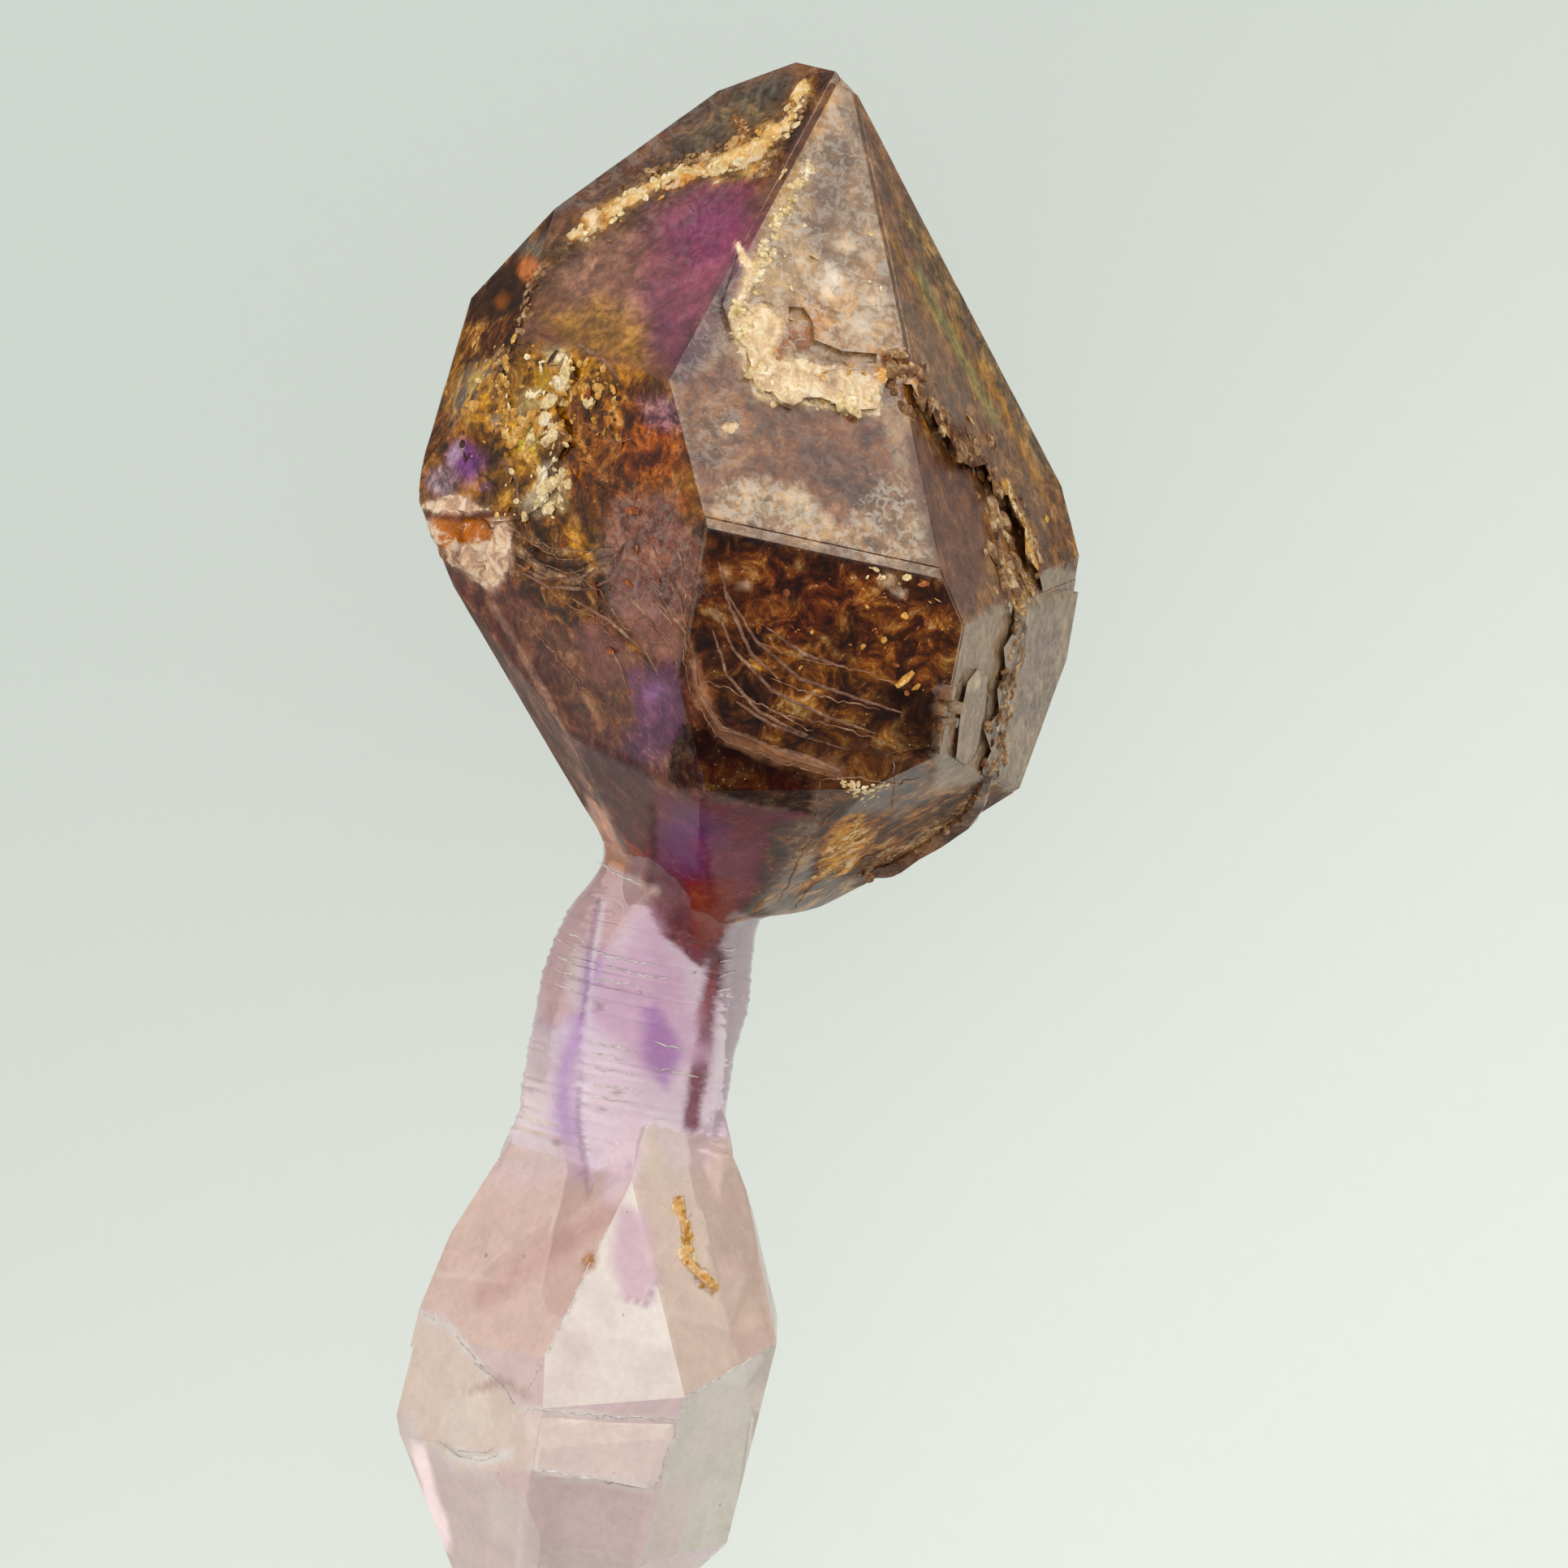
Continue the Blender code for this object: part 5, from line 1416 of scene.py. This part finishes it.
def set_down(model, place, turned, size):
    """A copy of a small model, one millimetre across, at its place on the crystal."""
    made = model.copy()
    made.data = model.data.copy()
    bpy.context.scene.collection.objects.link(made)
    made.matrix_world = (
        Matrix.Translation(place) @ turned.to_matrix().to_4x4() @ Matrix.Diagonal((*size, 1.0))
    )
    return made


def joined_kinds(kinds, ending, smooth_angle=None):
    """One piece for each kind, with all of its small copies joined."""
    made = {}
    for kind, copies in kinds.items():
        pick_nothing()
        for one in copies:
            one.select_set(True)
        bpy.context.view_layer.objects.active = copies[0]
        bpy.ops.object.join()
        bpy.ops.object.transform_apply(location=True, rotation=True, scale=True)
        if smooth_angle:
            bpy.ops.object.shade_smooth_by_angle(angle=smooth_angle)
        copies[0].name = kind + ending
        made[kind] = copies[0]
    return made


def scatter_flecks(tree):
    """Flecks of clay and rust in the faces, each kind joined into one piece."""
    chance = np.random.default_rng(12)
    chip = one_chip()
    kinds = {}
    for kind, count, outline in FLECK_FIELDS:
        corners = np.array(outline, float)
        low, high = corners.min(axis=0), corners.max(axis=0)
        tries = low + (high - low) * chance.random((count * 3, 2))
        for across, down in tries[depth_in_patch(tries, outline) > 0][:count]:
            found = surface_at(tree, across, down)
            if not found:
                continue
            place, normal = found
            lean = Vector(chance.normal(0.0, 0.35, 3)) + normal
            turned = lean.to_track_quat("Z", "Y") @ spin(chance)
            size = 0.07 + 0.3 * chance.random() ** 2.4
            deep = (0.3 * chance.random() ** 2 - 0.06) * MM
            stretch = 1.0 + 2.4 * chance.random() ** 2
            flake = set_down(
                chip, place - normal * deep, turned, (size * stretch, size, size * 0.8)
            )
            kinds.setdefault(kind, []).append(flake)
    made = joined_kinds(kinds, "_flecks")
    bpy.data.objects.remove(chip)
    return made


# Each row of crumbs: their kind, its spread in pixels, their least and most size in
# millimetres, and its line.
CRUMB_LINES = (
    ("ledge", 15, 0.45, 1.25, ((1090, 438), (1106, 468), (1140, 500), (1168, 530), (1200, 558),
                               (1222, 596), (1232, 640), (1240, 690), (1250, 740))),
    ("ledge", 10, 0.30, 0.85, ((1226, 600), (1262, 640), (1276, 690), (1262, 730), (1250, 770))),
    ("ledge", 8, 0.28, 0.70, ((1250, 768), (1256, 810), (1240, 840), (1242, 872), (1230, 900),
                              (1234, 930), (1212, 962))),
    ("ledge", 8, 0.22, 0.60, ((1064, 1076), (1110, 1050), (1166, 1010), (1206, 976))),
    ("ledge", 7, 0.18, 0.50, ((998, 112), (972, 160), (930, 215))),
    ("cream", 7, 0.18, 0.55, ((990, 114), (968, 158), (930, 187), (882, 206), (834, 216),
                              (792, 236), (744, 268), (706, 296))),
    ("ledge", 8, 0.16, 0.40, ((990, 122), (940, 160), (880, 190), (820, 206), (770, 234))),
    ("cream", 10, 0.20, 0.70, ((934, 322), (912, 370), (908, 400), (930, 440), (948, 482),
                               (1000, 494), (1080, 500))),
    ("cream", 5, 0.14, 0.40, ((1000, 200), (972, 250), (946, 300), (930, 340))),
    ("cream", 17, 0.12, 0.80, ((700, 436), (684, 500), (672, 560), (680, 600), (660, 640))),
    ("gold", 24, 0.12, 0.62, ((620, 440), (600, 500), (640, 540), (720, 470), (760, 500))),
    ("gold", 10, 0.16, 0.46, ((1012, 1078), (1030, 1050), (1060, 1016))),
    ("gold", 4, 0.16, 0.44, ((838, 1482), (846, 1520), (848, 1552), (866, 1574), (884, 1592))),
    ("cream", 5, 0.12, 0.34, ((842, 1500), (848, 1540), (858, 1566), (880, 1580))),
    ("cream", 9, 0.12, 0.34, ((1036, 960), (1060, 980), (1090, 966))),
    ("ledge", 9, 0.14, 0.44, ((668, 320), (652, 372), (636, 420), (610, 450))),
)


def one_crumb():
    """A small broken lump, one millimetre across."""
    pick_nothing()
    bpy.ops.mesh.primitive_ico_sphere_add(subdivisions=2, radius=0.5 * MM)
    crumb = bpy.context.active_object
    spots = read_all(crumb.data.vertices, "co", 3)
    lumps = layered_grain(spots / MM, 0.55, 17.0, 2)
    spots *= 1.0 + 0.6 * lumps[:, None]
    crumb.data.vertices.foreach_set("co", spots.ravel())
    crumb.data.update()
    return crumb


def scatter_crumbs(tree):
    """Broken lumps along the growth ledges and the crusts, each kind joined into one piece."""
    chance = np.random.default_rng(23)
    crumb = one_crumb()
    kinds = {}
    for kind, spread, small, large, line in CRUMB_LINES:
        for (ax, ay), (bx, by) in zip(line, line[1:]):
            length = np.hypot(bx - ax, by - ay) / PICTURE_SCALE
            for _ in range(int(length / (small + large) * 9.0) + 1):
                share = chance.random()
                found = surface_at(
                    tree,
                    ax + (bx - ax) * share + chance.normal(0.0, spread * 0.6),
                    ay + (by - ay) * share + chance.normal(0.0, spread * 0.6),
                )
                if not found:
                    continue
                place, normal = found
                size = small + (large - small) * chance.random() ** 2
                turned = normal.to_track_quat("Z", "Y") @ spin(chance)
                long = size * (0.8 + 1.5 * chance.random() ** 2)
                lump = set_down(
                    crumb, place - normal * (0.12 * size * MM), turned,
                    (long, size * 0.8, size * 0.5),
                )
                kinds.setdefault(kind, []).append(lump)
    made = joined_kinds(kinds, "_crumbs", radians(24))
    bpy.data.objects.remove(crumb)
    return made


def add_lines_flecks_and_crumbs(node):
    mesh = node.data
    tree = BVHTree.FromPolygons([v.co.copy() for v in mesh.vertices],
                                [tuple(p.vertices) for p in mesh.polygons])
    for name, lines, radius, lift, shake, finish, stops, grain, clear in LINE_SETS:
        piece = raised_lines(name, tree, lines, radius, lift, shake)
        piece.data.materials.append(clay_finish(finish, stops, grain, clear))
        finish_piece(piece)
    for kind, piece in scatter_flecks(tree).items():
        piece.data.materials.append(clay_finish(kind + "_fleck", SMALL_STOPS[kind], 0.5))
        finish_piece(piece)
    for kind, piece in scatter_crumbs(tree).items():
        piece.data.materials.append(clay_finish(kind + "_crumb", SMALL_STOPS[kind], 0.9, 0.15))
        finish_piece(piece)


# Stage.


BASE_LIGHT = 0.47


def soft_room():
    """A pale even room, brighter up on the right and dimmer on the left."""
    world = bpy.data.worlds.new("soft_room")
    world.use_nodes = True
    tree = world.node_tree
    back = tree.nodes["Background"]
    where = tree.nodes.new("ShaderNodeTexCoord").outputs["Generated"]

    def glow(direction, low, high, amount):
        dot = tree.nodes.new("ShaderNodeVectorMath")
        dot.operation = "DOT_PRODUCT"
        tree.links.new(where, dot.inputs[0])
        dot.inputs[1].default_value = Vector(direction).normalized()
        span = tree.nodes.new("ShaderNodeMapRange")
        span.interpolation_type = "SMOOTHSTEP"
        tree.links.new(dot.outputs["Value"], span.inputs["Value"])
        for key, number in (("From Min", low), ("From Max", high), ("To Min", 0.0),
                            ("To Max", amount)):
            span.inputs[key].default_value = number
        return span.outputs["Result"]

    def total(first, second):
        node = tree.nodes.new("ShaderNodeMath")
        node.operation = "ADD"
        tree.links.new(first, node.inputs[0])
        if isinstance(second, float):
            node.inputs[1].default_value = second
        else:
            tree.links.new(second, node.inputs[1])
        return node.outputs[0]

    key = glow((0.42, 0.72, 0.55), 0.66, 0.97, 1.5)
    fill = glow((-0.75, 0.1, 0.65), 0.35, 0.97, 1.1)
    below = glow((0.0, 0.0, -1.0), -0.9, 0.2, 0.72)
    level = total(total(total(key, fill), below), BASE_LIGHT)
    tree.links.new(level, back.inputs["Strength"])
    back.inputs["Color"].default_value = (0.92, 0.90, 0.87, 1.0)
    # The room has no small bright spot, so its light needs no sampling of its own.
    world.cycles.sampling_method = "NONE"
    bpy.context.scene.world = world


def table():
    pick_nothing()
    bpy.ops.mesh.primitive_plane_add(size=6.0, location=(0, 0, -0.00002))
    floor = bpy.context.active_object
    floor.name = "pale_floor"
    bpy.ops.object.transform_apply(location=True, rotation=True, scale=True)
    floor.data.materials.append(floor_finish())


def camera():
    x, y = from_picture(PICTURE_MIDDLE, PICTURE_MIDDLE)
    lens = bpy.data.cameras.new("view")
    lens.lens = 280.0
    lens.sensor_width = 36.0
    lens.clip_start = 0.01
    eye = bpy.data.objects.new("view", lens)
    eye.location = (x * MM, y * MM, (MIDDLE_HEIGHT + EYE_HEIGHT) * MM)
    eye.rotation_euler = (0.0, 0.0, PICTURE_TURN)
    bpy.context.scene.collection.objects.link(eye)
    bpy.context.scene.camera = eye


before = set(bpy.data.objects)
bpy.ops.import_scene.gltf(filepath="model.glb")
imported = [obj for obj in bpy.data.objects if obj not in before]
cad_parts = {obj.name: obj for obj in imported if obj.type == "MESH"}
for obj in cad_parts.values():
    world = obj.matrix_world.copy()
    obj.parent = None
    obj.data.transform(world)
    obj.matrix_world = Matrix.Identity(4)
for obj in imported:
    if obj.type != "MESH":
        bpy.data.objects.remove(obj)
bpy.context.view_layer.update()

soft_room()
table()
camera()
bpy.context.scene.view_settings.view_transform = "Standard"

crystal = prepare_crystal(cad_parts["scepter_crystal"])
dress_crystal(crystal)
crystal.data.materials.append(crystal_finish("amethyst_quartz", 0.5))
crystal.data.materials.append(crystal_finish("stained_quartz", 0.02))
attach(crystal, "root")
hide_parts("scepter_crystal")
add_inclusions()
add_lines_flecks_and_crumbs(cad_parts["scepter_crystal"])

pick_nothing()
